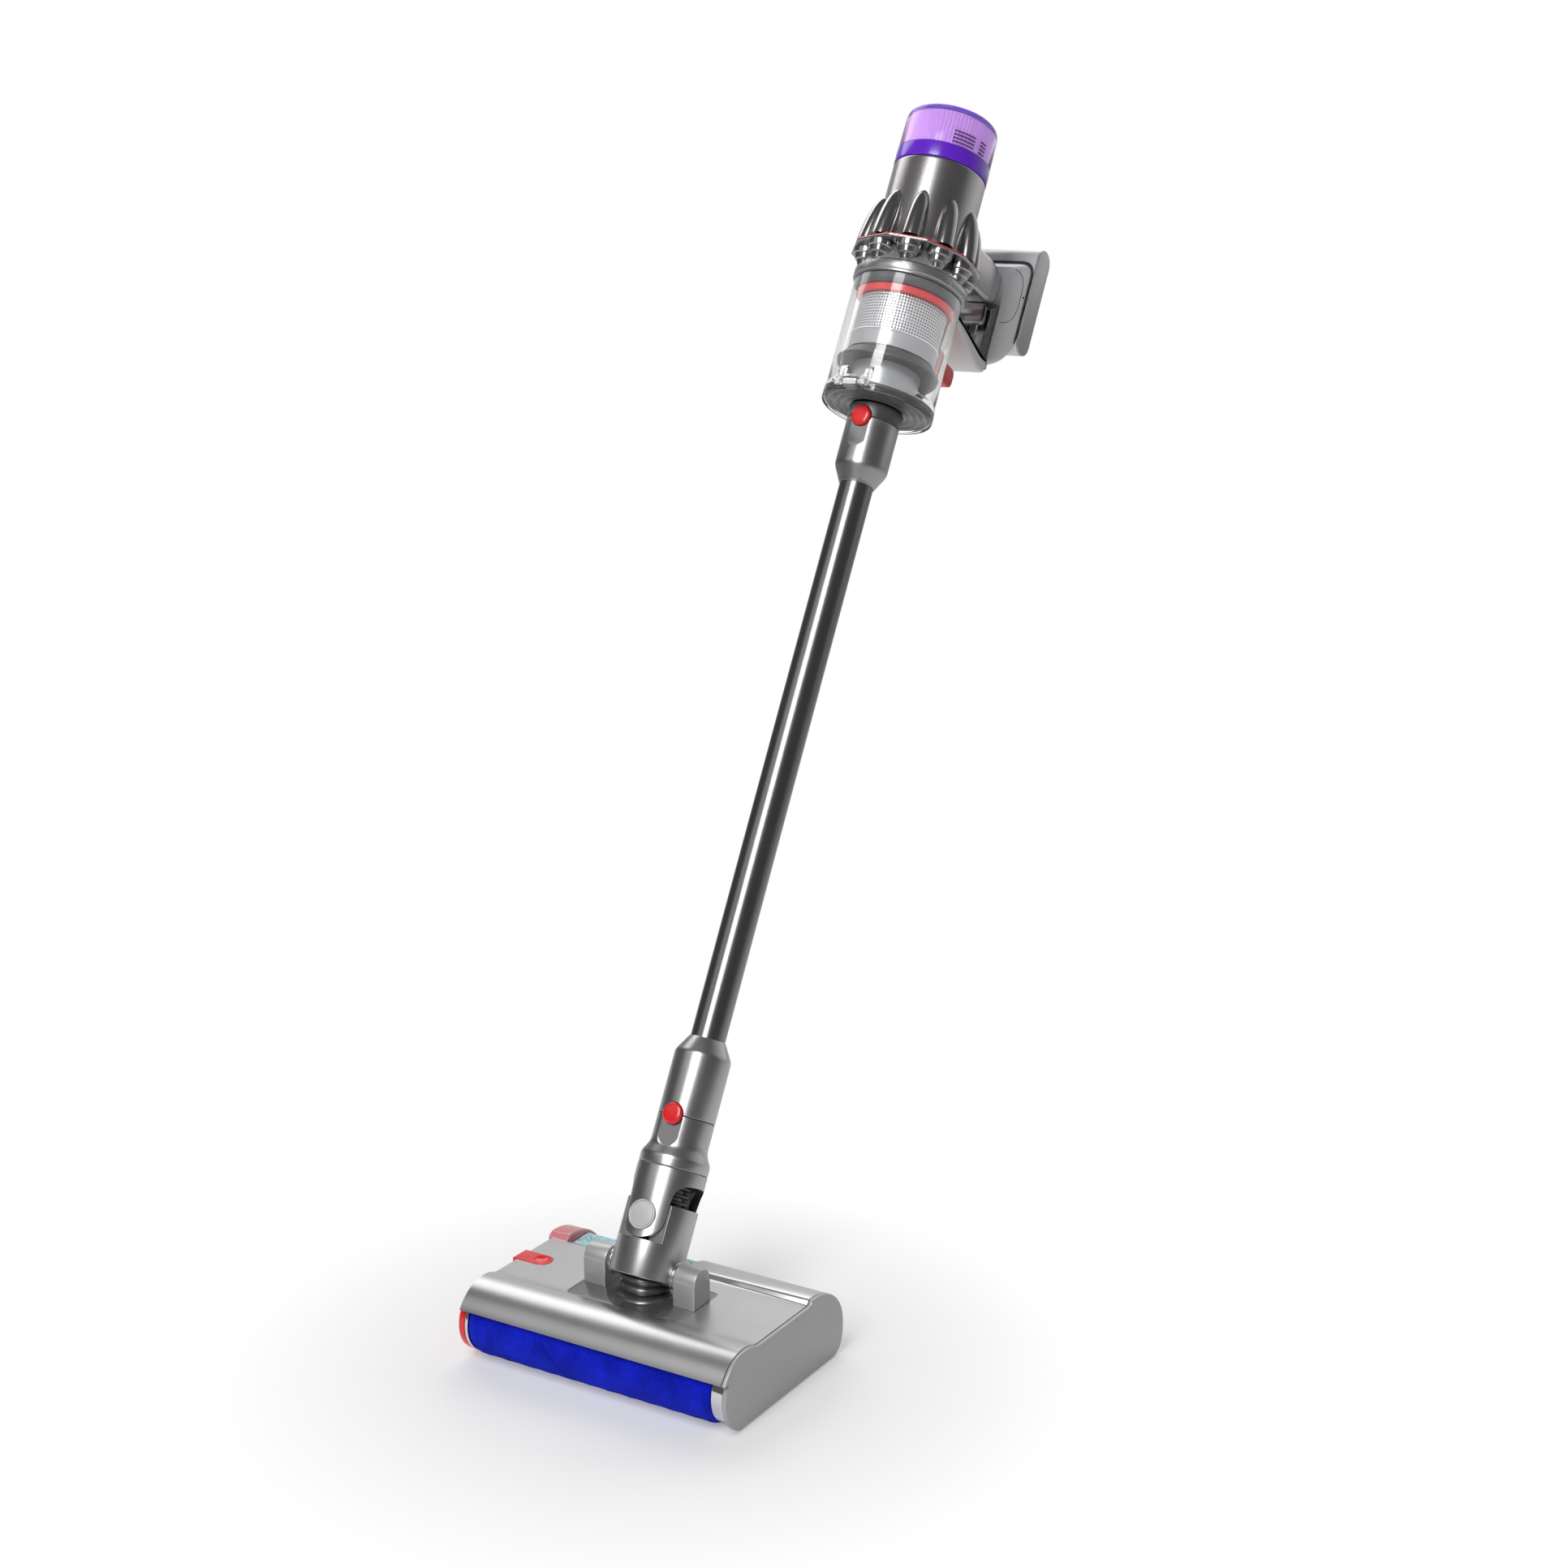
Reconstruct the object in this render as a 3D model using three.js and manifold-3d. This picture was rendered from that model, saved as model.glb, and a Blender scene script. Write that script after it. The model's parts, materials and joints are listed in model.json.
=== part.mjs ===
// Cordless stick vacuum, built as an assembly of separate solids.
// Millimetres, +Z up. X runs along the floor head, -Y is the roller side, +Y the user's side.
// The origin is on the floor, straight below the axis on which the wand tilts.
import * as THREE from 'three';
import { mergeVertices } from 'three/addons/utils/BufferGeometryUtils.js';
import Module from 'manifold-3d';

const wasm = await Module();
wasm.setup();

// ---------------------------------------------------------------- driving sizes
const GAP = 0.3; // air between pieces that touch
const RUN = 0.5; // air between pieces that turn or slide

const HEAD_WIDTH = 256;
const CAP_THICK = 4;
const DECK_Z = 60;
const SOLE_Z = 1.2;
const WALL = 3.5;

const ROLLER_Y = -52.5;
const ROLLER_Z = 30;
const ROLLER_R = 29.4;
const CHAMBER_R = 33;
const SHROUD_R = 36.5;
const LIP_ANGLE = THREE.MathUtils.degToRad(149);

const TANK_FRONT_Y = 41.5;
const TANK_END_X = 8;
const TANK_CAP_X = -108;
const SLAT = 3;

const WHEEL_R = 9.2;
const WHEEL_X = 88;
const WHEEL_Y = 22;

const PIVOT_Z = 79;
const LEAN = THREE.MathUtils.degToRad(29.3);
const EAR_IN = 32.5;
const EAR_OUT = 53.5;
const EAR_R = 11.5;
const EAR_WEB = 7; // thickness of the ear's outer wall, past the pin's bore
const TILT_PIN_R = 4.5;
const FULL_TILT_DEG = 67.3; // lean of the wand at the end of its travel
const HEEL_ROOM = 17; // distance from the tilt axis to the floor head's deck, less its clearance

// stations along the wand, from the tilt axis
const NECK_R = 29;
const NECK_BORE = 17;
const STEER_S = 40;
const ARM_R = 18;
const FLAT_B = 21;
const NECK_LOW_S = -6;
const NECK_TOP_S = 52;
const RING_S = 66;
const COLLAR_TOP_S = 81;
const CONNECTOR_R = 23.5;
const HEAD_SEAM_S = 123;
const SOCKET_TOP_S = 174.5;
const TUBE_S = 188.5;
const TUBE_R = 14.5;
const TUBE_BORE = 13.1;
const UPPER_CONE_S = 673;
const COUPLING_R = 22.8;
const WAND_SEAM_S = 728;
const FLAP_S = 741;
const BIN_S = 749;
const BIN_R = 47.5;
const BIN_TOP_S = 850;
const BIN_COLLAR_TOP_S = 861;
const CROWN_S = 878;
const MOTOR_S = 883;
const MOTOR_R = 41;
const FILTER_S = 962;
const FILTER_BAND_S = 976;
const TOP_S = 1012;
const DUCT_R = 16;
const SPIGOT_R = 19.6;
const SPIGOT_LONG = 27;
const BUTTON_R = 8.8;
const PODS = 10;
const CUP_RING_R = 43;
const POD_RING_R = 44;
const POD_LEAN_DEG = 8.5;

const GRIP_FRONT_B = 124;
const GRIP_BACK_B = 134;
const SLAB_B = 143;
const SLAB_THICK = 25;

// ---------------------------------------------------------------- finishes
const finish = (color, roughness, metalness, extra = {}) =>
  new THREE.MeshStandardMaterial({ color, roughness, metalness, ...extra });
const clear = { transparent: true, opacity: 0.35 };

const SATIN_GREY = finish(0xa3a4a6, 0.35, 0.6);
const DARK_GREY = finish(0x5b5c5f, 0.45, 0.4);
const BLACK = finish(0x1d1d1f, 0.6, 0.0);
const BLUE_PILE = finish(0x0a18c8, 0.95, 0.0);
const RED = finish(0xd8232a, 0.35, 0.0);
const PINK_RED = finish(0xe0545a, 0.3, 0.0);
const CHROME = finish(0xc9cacc, 0.12, 1.0);
const DARK_CHROME = finish(0x6f7073, 0.18, 1.0);
const STEEL_TUBE = finish(0x8b8c8e, 0.3, 0.9);
const CLEAR_BIN = finish(0xe9eef0, 0.05, 0.0, clear);
const AQUA_TANK = finish(0xa9dfe6, 0.08, 0.0, clear);
const MESH_SILVER = finish(0xb9babc, 0.4, 0.8);
const PURPLE = finish(0x5a1fc0, 0.35, 0.1);
const LIGHT_GREY = finish(0xcfd0d2, 0.4, 0.2);

// ---------------------------------------------------------------- solids
// A closed three.js geometry as a manifold, turned right side out.
function solid(geometry) {
  const bare = geometry.clone();
  bare.deleteAttribute('normal');
  bare.deleteAttribute('uv');
  const welded = mergeVertices(bare, 1e-4);
  const index = Array.from(welded.index.array);
  const place = welded.attributes.position.array;
  const kept = [];
  let volume = 0;
  for (let i = 0; i < index.length; i += 3) {
    const [a, b, c] = index.slice(i, i + 3);
    if (a === b || b === c || a === c) continue;
    kept.push(a, b, c);
    const p = new THREE.Vector3().fromArray(place, 3 * a);
    const q = new THREE.Vector3().fromArray(place, 3 * b);
    const r = new THREE.Vector3().fromArray(place, 3 * c);
    volume += p.dot(q.cross(r));
  }
  if (volume < 0) kept.reverse();
  return new wasm.Manifold(new wasm.Mesh({
    numProp: 3,
    vertProperties: Float32Array.from(place),
    triVerts: Uint32Array.from(kept),
  }));
}

const union = (first, ...rest) => rest.reduce((sum, next) => sum.add(next), first);
const cut = (from, ...tools) => tools.reduce((left, tool) => left.subtract(tool), from);

// A box given by its lowest and highest corners.
function box(x0, y0, z0, x1, y1, z1) {
  const shape = new THREE.BoxGeometry(x1 - x0, y1 - y0, z1 - z0);
  return solid(shape.translate((x0 + x1) / 2, (y0 + y1) / 2, (z0 + z1) / 2));
}

// A ring or a plug about Z: profile points are [radius, height] in order round the section.
// A profile that touches the axis starts and ends on it, any other one is closed here.
function turned(profile, segments = 26) {
  const points = profile.map(([r, z]) => new THREE.Vector2(r, z));
  if (profile[0][0] > 0) points.push(points[0].clone());
  return solid(new THREE.LatheGeometry(points, segments).rotateX(Math.PI / 2));
}

const disc = (r, z0, z1, segments = 26) => turned([[0, z0], [r, z0], [r, z1], [0, z1]], segments);
const ring = (bore, r, z0, z1, segments = 26) =>
  turned([[bore, z0], [r, z0], [r, z1], [bore, z1]], segments);

const inOrder = (a, b) => (a < b ? [a, b] : [b, a]);

// Cylinders along X and along Y, given by the ends on that axis and the centre across it.
const rodX = (r, x0, x1, y, z, segments = 24) =>
  disc(r, x0, x1, segments).rotate([0, 90, 0]).translate([0, y, z]);
const rodY = (r, y0, y1, x, z, segments = 24) =>
  disc(r, -y1, -y0, segments).rotate([90, 0, 0]).translate([x, 0, z]);

// A shape drawn in (y, z) and carried along X from x0 to x1.
function alongX(shape, x0, x1, curveSegments = 8) {
  const options = { depth: x1 - x0, bevelEnabled: false, curveSegments };
  const geometry = new THREE.ExtrudeGeometry(shape, options);
  const turn = new THREE.Matrix4().set(0, 0, 1, x0, 1, 0, 0, 0, 0, 1, 0, 0, 0, 0, 0, 1);
  return solid(geometry.applyMatrix4(turn));
}

// A shape drawn in (x, z) and carried along Y from y0 to y1.
function alongY(shape, y0, y1, curveSegments = 8) {
  const options = { depth: y1 - y0, bevelEnabled: false, curveSegments };
  const geometry = new THREE.ExtrudeGeometry(shape, options);
  const turn = new THREE.Matrix4().set(1, 0, 0, 0, 0, 0, 1, y0, 0, 1, 0, 0, 0, 0, 0, 1);
  return solid(geometry.applyMatrix4(turn));
}

function polygon(points) {
  return new THREE.Shape(points.map(([a, b]) => new THREE.Vector2(a, b)));
}

function mesh(name, body, material) {
  const raw = body.getMesh();
  const geometry = new THREE.BufferGeometry();
  geometry.setAttribute('position', new THREE.BufferAttribute(raw.vertProperties, 3));
  geometry.setIndex(new THREE.BufferAttribute(raw.triVerts, 1));
  geometry.computeVertexNormals();
  const node = new THREE.Mesh(geometry, material);
  node.name = name;
  return node;
}

// ---------------------------------------------------------------- floor head
// The end view of the head, in (y, z): front lobe over the roller, deck, rear lobe, sole.
function headOutline(frontRadius, sole = SOLE_Z) {
  const shape = new THREE.Shape();
  const startAngle = -Math.acos((ROLLER_Z - sole) / frontRadius) - Math.PI / 2;
  shape.moveTo(ROLLER_Y + frontRadius * Math.cos(startAngle), sole);
  shape.absarc(ROLLER_Y, ROLLER_Z, frontRadius, startAngle, LIP_ANGLE - 2 * Math.PI, true);
  shape.absarc(ROLLER_Y, ROLLER_Z - 2.5, SHROUD_R, LIP_ANGLE, THREE.MathUtils.degToRad(72), true);
  shape.quadraticCurveTo(-36, DECK_Z, -30, DECK_Z);
  shape.lineTo(44, DECK_Z);
  shape.quadraticCurveTo(50, DECK_Z + 4, 57, DECK_Z + 4);
  shape.bezierCurveTo(78, DECK_Z + 3, 93.5, 46, 93.5, 26);
  shape.bezierCurveTo(93.5, 10, 88, sole, 77, sole);
  return shape;
}

// The region behind the roller chamber that the housing keeps open for its inner parts.
function bayOutline(backY) {
  const r = SHROUD_R;
  const low = -6;
  const high = DECK_Z - WALL;
  const shape = new THREE.Shape();
  const lowY = ROLLER_Y + Math.sqrt(r * r - (ROLLER_Z - low) ** 2);
  const highAngle = Math.asin((high - ROLLER_Z) / r);
  shape.moveTo(lowY, low);
  shape.lineTo(backY, low);
  shape.lineTo(backY, high);
  shape.absarc(ROLLER_Y, ROLLER_Z, r, highAngle, Math.asin((low - ROLLER_Z) / r), true);
  return shape;
}

// The inside of the rear lobe, the outline drawn again one wall further in.
function lobeBayOutline() {
  const shape = new THREE.Shape();
  shape.moveTo(30, -6);
  shape.lineTo(76, -6);
  shape.bezierCurveTo(86, 4, 89.5, 12, 89.5, 26);
  shape.bezierCurveTo(89.5, 43, 76, 58, 57, DECK_Z + 4 - WALL);
  shape.lineTo(30, DECK_Z - WALL);
  return shape;
}

const halfWidth = HEAD_WIDTH / 2;
const bodyHalf = halfWidth - CAP_THICK - GAP;
const bayHalf = bodyHalf - WALL;

function headHousing() {
  const outer = alongX(headOutline(SHROUD_R - 1), -bodyHalf, bodyHalf, 12);
  const chamber = rodX(CHAMBER_R, -halfWidth, bayHalf, ROLLER_Y, ROLLER_Z, 36);
  const lipZ = ROLLER_Z - 2.5 + SHROUD_R * Math.sin(LIP_ANGLE);
  const mouth = box(-halfWidth, -110, -5, bayHalf, ROLLER_Y, lipZ - 1);
  const below = box(-halfWidth, ROLLER_Y - 1, -5, bayHalf, -36, 12);
  const endFront = box(-halfWidth, -110, -5, halfWidth, ROLLER_Y - 28, lipZ - 1);
  const bay = alongX(bayOutline(TANK_FRONT_Y - WALL), -bayHalf, bayHalf, 10);
  const lobe = alongX(lobeBayOutline(), TANK_END_X + WALL, bayHalf, 10);
  const tankBay = box(-halfWidth, TANK_FRONT_Y, -5, TANK_END_X + GAP, 110, 80);
  const sole = box(-halfWidth, -39, -5, halfWidth, 110, SOLE_Z + SLAT + GAP);
  const tabSlot = box(-halfWidth, -8, DECK_Z - 5, -96, 11, DECK_Z + 5);
  const bellowsHole = disc(18, DECK_Z - 10, DECK_Z + 5, 24);
  const recess = box(-54.5, -30, DECK_Z - 1, 54.5, 24, DECK_Z + 5);
  return cut(outer, chamber, mouth, below, endFront, bay, lobe, tankBay, sole, tabSlot, bellowsHole, recess);
}

function basePlate() {
  let body = box(-bodyHalf, -34, SOLE_Z, bodyHalf, 76, SOLE_Z + SLAT);
  for (const side of [-1, 1]) {
    const x = side * WHEEL_X;
    const cheeks = cut(
      box(x - 13, WHEEL_Y - 9, SOLE_Z, x + 13, WHEEL_Y + 9, 16),
      box(x - 8, WHEEL_Y - 10, SOLE_Z - 1, x + 8, WHEEL_Y + 10, 17),
    );
    const well = box(x - 8, WHEEL_Y - 11, -1, x + 8, WHEEL_Y + 11, SOLE_Z + SLAT + 1);
    const bore = rodX(2.6, x - 14, x + 14, WHEEL_Y, WHEEL_R + GAP, 12);
    body = cut(union(body, cheeks), well, bore);
  }
  return cut(body, rodX(CHAMBER_R + 1, -200, 200, ROLLER_Y, ROLLER_Z, 36));
}

function endCap(side) {
  const inner = side * (halfWidth - CAP_THICK);
  const outer = side * halfWidth;
  const plate = alongX(headOutline(30.5), Math.min(inner, outer), Math.max(inner, outer), 12);
  if (side > 0) return plate;
  return cut(
    plate,
    box(-halfWidth - 1, TANK_FRONT_Y - 0.5, -5, -100, 110, 80),
    rodX(26, -halfWidth - 1, -100, ROLLER_Y, ROLLER_Z, 26),
    box(-halfWidth - 1, -8, DECK_Z - 5, -100, 11, DECK_Z + 5),
  );
}

function ear(side) {
  const profile = new THREE.Shape();
  profile.moveTo(-EAR_R, DECK_Z - 1 + GAP);
  profile.lineTo(EAR_R, DECK_Z - 1 + GAP);
  profile.absarc(0, PIVOT_Z, EAR_R, 0, Math.PI, false);
  const [low, high] = inOrder(side * EAR_IN, side * EAR_OUT);
  const [start, end] = inOrder(0, side * (EAR_OUT - EAR_WEB));
  return cut(alongX(profile, low, high, 10), rodX(TILT_PIN_R + RUN, start, end, 0, PIVOT_Z, 20));
}

// The low part of the sleeve between deck and neck: a wide foot and two soft ribs.
function bellows() {
  const z = DECK_Z - 1 + GAP;
  return turned([
    [13, z], [23, z], [22, z + 2.5], [17, z + 3.5],
    [19.5, z + 4.5], [17, z + 5.5], [18, z + 6.5], [13, z + 6.5],
  ], 20);
}

function waterTank() {
  const shell = alongX(headOutline(SHROUD_R - 1, SOLE_Z + SLAT + RUN), TANK_CAP_X, TANK_END_X - GAP, 10);
  const back = box(-200, TANK_FRONT_Y + RUN, -5, 50, 110, 80);
  const hollow = alongX(polygon([
    [46, 8], [78, 8], [87, 16], [89.5, 28], [86, 42], [74, 55], [58, 60], [46, 56],
  ]), TANK_CAP_X - 1, TANK_END_X - 4);
  return cut(shell.intersect(back), hollow);
}

function tankCap() {
  const plug = alongX(headOutline(SHROUD_R - 1, SOLE_Z + SLAT + RUN), -halfWidth, TANK_CAP_X - GAP, 10);
  const back = box(-200, TANK_FRONT_Y + RUN, -5, 50, 110, 80);
  const thumb = rodY(7, 91, 100, -118, 30, 16);
  return cut(plug.intersect(back), thumb);
}

const TAB_TOP_Z = DECK_Z + 0.6;

function releaseTab() {
  const bar = box(-halfWidth, -7.5, DECK_Z - 4.5, -104, 10.5, TAB_TOP_Z);
  const nose = disc(9, DECK_Z - 4.5, TAB_TOP_Z, 24).translate([-105.5, 1.5, 0]);
  const dimple = disc(6, DECK_Z - 1.5, DECK_Z + 3, 20).translate([-105.5, 1.5, 0]);
  return cut(union(bar, nose), dimple);
}

function wheel(side) {
  const x = side * WHEEL_X;
  const z = WHEEL_R + GAP;
  return union(
    rodX(WHEEL_R, x - 7, x + 7, WHEEL_Y, z, 28),
    rodX(2.1, x - 12.5, x + 12.5, WHEEL_Y, z, 12),
  );
}

function buildHead() {
  const head = new THREE.Group();
  head.add(mesh('head_housing', headHousing(), SATIN_GREY));
  head.add(mesh('head_base_plate', basePlate(), BLACK));
  head.add(mesh('right_end_cap', endCap(1), SATIN_GREY));
  head.add(mesh('left_end_cap', endCap(-1), SATIN_GREY));
  head.add(mesh('left_ear', ear(-1), SATIN_GREY));
  head.add(mesh('right_ear', ear(1), SATIN_GREY));
  head.add(mesh('bellows', bellows(), DARK_GREY));
  head.add(mesh('glide_pad', box(-30, -9, 0, 30, 9, SOLE_Z - GAP), BLACK));
  const motor = union(
    rodX(14, 6, bayHalf - 26, ROLLER_Y, ROLLER_Z, 24),
    rodX(5, bayHalf - 26, bodyHalf - WALL - GAP, ROLLER_Y, ROLLER_Z, 16),
  );
  head.add(mesh('roller_motor', motor, BLACK));
  const core = cut(
    rodX(23, -118, 116, ROLLER_Y, ROLLER_Z, 26),
    rodX(19, -113, 117, ROLLER_Y, ROLLER_Z, 26),
  );
  head.add(mesh('roller_core', core, BLACK));
  const sleeve = cut(
    rodX(ROLLER_R, -118, 112, ROLLER_Y, ROLLER_Z, 28),
    rodX(23 + GAP, -119, 113, ROLLER_Y, ROLLER_Z, 26),
  );
  head.add(mesh('roller_sleeve', sleeve, BLUE_PILE));
  const endRing = cut(
    rodX(28, 112 + GAP, 116, ROLLER_Y, ROLLER_Z, 26),
    rodX(23 + GAP, 100, 120, ROLLER_Y, ROLLER_Z, 26),
  );
  head.add(mesh('roller_end_ring', endRing, CHROME));
  const plug = union(
    rodX(25.5, -halfWidth, -120, ROLLER_Y, ROLLER_Z, 26),
    rodX(4, -120, -118 - GAP, ROLLER_Y, ROLLER_Z, 16),
  );
  head.add(mesh('roller_plug', plug, RED));
  head.add(mesh('release_tab', releaseTab(), RED));
  head.add(mesh('water_tank', waterTank(), AQUA_TANK));
  head.add(mesh('tank_cap', tankCap(), PINK_RED));
  head.add(mesh('left_wheel', wheel(-1), BLACK));
  head.add(mesh('right_wheel', wheel(1), BLACK));
  return head;
}

// ---------------------------------------------------------------- neck and swivel
// From here on the solids are drawn in the wand's own frame: Z along the wand, Y to its back.
function neckBody() {
  const barrel = disc(NECK_R, NECK_LOW_S, NECK_TOP_S, 32);
  const trunnions = rodX(10.5, -EAR_IN + GAP, EAR_IN - GAP, 0, 0, 24);
  const front = box(-40, -40, STEER_S - ARM_R - RUN, 40, -FLAT_B, 80);
  const back = box(-40, FLAT_B, STEER_S - ARM_R - RUN, 40, 40, 80);
  const heel = box(-40, -60, -HEEL_ROOM - 40, 40, 60, -HEEL_ROOM).rotate([FULL_TILT_DEG, 0, 0]);
  return cut(
    union(barrel, trunnions),
    disc(NECK_BORE, -20, 80, 28),
    front,
    back,
    heel,
    rodX(TILT_PIN_R + GAP, -40, 40, 0, 0, 20),
    rodY(6 + RUN, -40, 40, 0, STEER_S, 20),
  );
}

function tiltPin(side) {
  const near = side * (NECK_BORE + 3);
  const far = side * (EAR_OUT - 8);
  return rodX(TILT_PIN_R, Math.min(near, far), Math.max(near, far), 0, 0, 20);
}

function forkCollar() {
  const barrel = disc(NECK_R, STEER_S - ARM_R, COLLAR_TOP_S, 32);
  const armless = box(-60, -FLAT_B - RUN, 0, 60, FLAT_B + RUN, RING_S);
  const armShape = new THREE.Shape();
  armShape.absarc(0, STEER_S, ARM_R, Math.PI, 2 * Math.PI, false);
  armShape.bezierCurveTo(ARM_R, RING_S - 12, ARM_R + 2, RING_S - 4, NECK_R + 1, RING_S);
  armShape.lineTo(NECK_R + 1, COLLAR_TOP_S + 1);
  armShape.lineTo(-NECK_R - 1, COLLAR_TOP_S + 1);
  armShape.lineTo(-NECK_R - 1, RING_S);
  armShape.bezierCurveTo(-ARM_R - 2, RING_S - 4, -ARM_R, RING_S - 12, -ARM_R, STEER_S);
  const arms = alongY(armShape, -40, 40, 8);
  return cut(
    cut(barrel, armless).intersect(arms),
    disc(25, RING_S - 6, 100, 32),
    rodY(6 + GAP, -40, 40, 0, STEER_S, 20),
    rodY(12 + GAP, -40, -NECK_R + 2.5, 0, STEER_S, 24),
    rodY(12 + GAP, NECK_R - 2.5, 40, 0, STEER_S, 24),
  );
}

function steerPin(side) {
  const shaft = rodY(6, 18, NECK_R - 1, 0, STEER_S, 20);
  const cap = rodY(12, NECK_R - 2.2, NECK_R + 0.6, 0, STEER_S, 28);
  const pin = union(shaft, cap);
  return side > 0 ? pin : pin.rotate([0, 0, 180]);
}

// Corrugated hose inside the neck, drawn by a row of equal ribs.
function swivelHose() {
  const from = 4;
  const to = COLLAR_TOP_S - 2;
  const ribs = 8;
  const pitch = (to - from) / ribs;
  const outside = [];
  for (let i = 0; i < ribs; i += 1) {
    outside.push([13.2, from + i * pitch], [15.6, from + (i + 0.5) * pitch]);
  }
  outside.push([13.2, to]);
  return turned([[11.5, from], ...outside, [11.5, to]], 14);
}

function buttonBore(seam) {
  return rodY(BUTTON_R + RUN, -40, -17.9, 0, seam, 24);
}

function headConnector() {
  const s = COLLAR_TOP_S + GAP;
  const body = turned([
    [DUCT_R, s], [NECK_R - 0.3, s], [NECK_R - 0.3, s + 8], [CONNECTOR_R, s + 16],
    [CONNECTOR_R, HEAD_SEAM_S - GAP], [SPIGOT_R, HEAD_SEAM_S - GAP],
    [SPIGOT_R, HEAD_SEAM_S + SPIGOT_LONG], [DUCT_R, HEAD_SEAM_S + SPIGOT_LONG],
  ]);
  const scoop = box(-9.5, -40, HEAD_SEAM_S - 26, 9.5, -20.5, HEAD_SEAM_S - 4);
  return cut(body, scoop, buttonBore(HEAD_SEAM_S));
}

const pushButton = (seam) => rodY(BUTTON_R, -25.2, -20.6, 0, seam, 24);

function lowerSocket() {
  const body = turned([
    [SPIGOT_R + RUN, HEAD_SEAM_S], [CONNECTOR_R, HEAD_SEAM_S], [CONNECTOR_R, SOCKET_TOP_S],
    [TUBE_R + 0.9, TUBE_S], [TUBE_R + GAP, TUBE_S], [TUBE_R + GAP, HEAD_SEAM_S + SPIGOT_LONG + 4],
    [SPIGOT_R + RUN, HEAD_SEAM_S + SPIGOT_LONG + 2],
  ]);
  const track = box(-BUTTON_R - RUN, -40, 100, BUTTON_R + RUN, -17.9, HEAD_SEAM_S);
  return cut(body, buttonBore(HEAD_SEAM_S), track);
}

const TUBE_LOW_S = HEAD_SEAM_S + SPIGOT_LONG + 6;
const TUBE_HIGH_S = WAND_SEAM_S - SPIGOT_LONG - 6;

function upperCoupling() {
  const body = turned([
    [TUBE_R + GAP, UPPER_CONE_S], [TUBE_R + 0.9, UPPER_CONE_S], [COUPLING_R, UPPER_CONE_S + 14],
    [COUPLING_R, WAND_SEAM_S - GAP], [SPIGOT_R + RUN, WAND_SEAM_S - GAP],
    [SPIGOT_R + RUN, WAND_SEAM_S - SPIGOT_LONG - 2], [TUBE_R + GAP, WAND_SEAM_S - SPIGOT_LONG - 4],
  ]);
  const scoop = box(-9.5, -40, WAND_SEAM_S - 26, 9.5, -21.2, WAND_SEAM_S - 4);
  return cut(body, scoop, buttonBore(WAND_SEAM_S));
}

function inletCollar() {
  const body = turned([
    [DUCT_R, WAND_SEAM_S - SPIGOT_LONG], [SPIGOT_R, WAND_SEAM_S - SPIGOT_LONG], [SPIGOT_R, WAND_SEAM_S],
    [COUPLING_R, WAND_SEAM_S], [COUPLING_R, FLAP_S - GAP], [DUCT_R, FLAP_S - GAP],
  ]);
  const track = box(-BUTTON_R - RUN, -40, 600, BUTTON_R + RUN, -17.9, WAND_SEAM_S);
  return cut(body, track, buttonBore(WAND_SEAM_S));
}

const HINGE_B = -BIN_R - 6;
const HINGE_S = BIN_S - 3.5;

function binBase() {
  const plate = ring(DUCT_R, BIN_R + 1, FLAP_S, BIN_S - GAP, 32);
  const lug = union(
    box(-7, HINGE_B, HINGE_S - 3.5, 7, -BIN_R + 4, BIN_S - GAP),
    rodX(3.8, -7, 7, HINGE_B, HINGE_S, 16),
  );
  return cut(union(plate, lug), rodX(1.9 + GAP, -30, 30, HINGE_B, HINGE_S, 12));
}

function buildWand() {
  const wand = new THREE.Group();
  wand.position.z = PIVOT_Z;
  wand.rotation.x = -LEAN;
  wand.add(mesh('neck_body', neckBody(), SATIN_GREY));
  wand.add(mesh('left_tilt_pin', tiltPin(-1), CHROME));
  wand.add(mesh('right_tilt_pin', tiltPin(1), CHROME));
  wand.add(mesh('fork_collar', forkCollar(), SATIN_GREY));
  wand.add(mesh('front_steer_pin', steerPin(-1), SATIN_GREY));
  wand.add(mesh('rear_steer_pin', steerPin(1), SATIN_GREY));
  wand.add(mesh('swivel_hose', swivelHose(), BLACK));
  wand.add(mesh('head_connector', headConnector(), SATIN_GREY));
  wand.add(mesh('head_button', pushButton(HEAD_SEAM_S), RED));
  wand.add(mesh('wand_lower_socket', lowerSocket(), SATIN_GREY));
  wand.add(mesh('wand_tube', ring(TUBE_BORE, TUBE_R, TUBE_LOW_S, TUBE_HIGH_S, 32), STEEL_TUBE));
  wand.add(mesh('wand_upper_coupling', upperCoupling(), SATIN_GREY));
  wand.add(mesh('wand_button', pushButton(WAND_SEAM_S), RED));
  wand.add(mesh('inlet_collar', inletCollar(), DARK_GREY));
  wand.add(mesh('bin_base', binBase(), CLEAR_BIN));
  wand.add(mesh('bin_hinge_pin', rodX(1.9, -17, 17, HINGE_B, HINGE_S, 12), CHROME));
  return wand;
}

// ---------------------------------------------------------------- bin, cyclones and motor
function dustBin() {
  const shell = ring(BIN_R - 2, BIN_R, BIN_S, BIN_TOP_S - GAP, 32);
  let body = shell;
  for (const x of [-12, 12]) {
    const arm = union(
      box(x - 3, HINGE_B, HINGE_S, x + 3, -BIN_R + 3, BIN_S + 8),
      rodX(3.8, x - 3, x + 3, HINGE_B, HINGE_S, 16),
    );
    body = union(body, cut(arm, box(-30, -BIN_R - 1.6, 700, 30, 0, BIN_S), disc(BIN_R - 1, 700, 900, 40)));
  }
  return cut(body, rodX(1.9 + RUN, -30, 30, HINGE_B, HINGE_S, 12));
}

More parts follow.
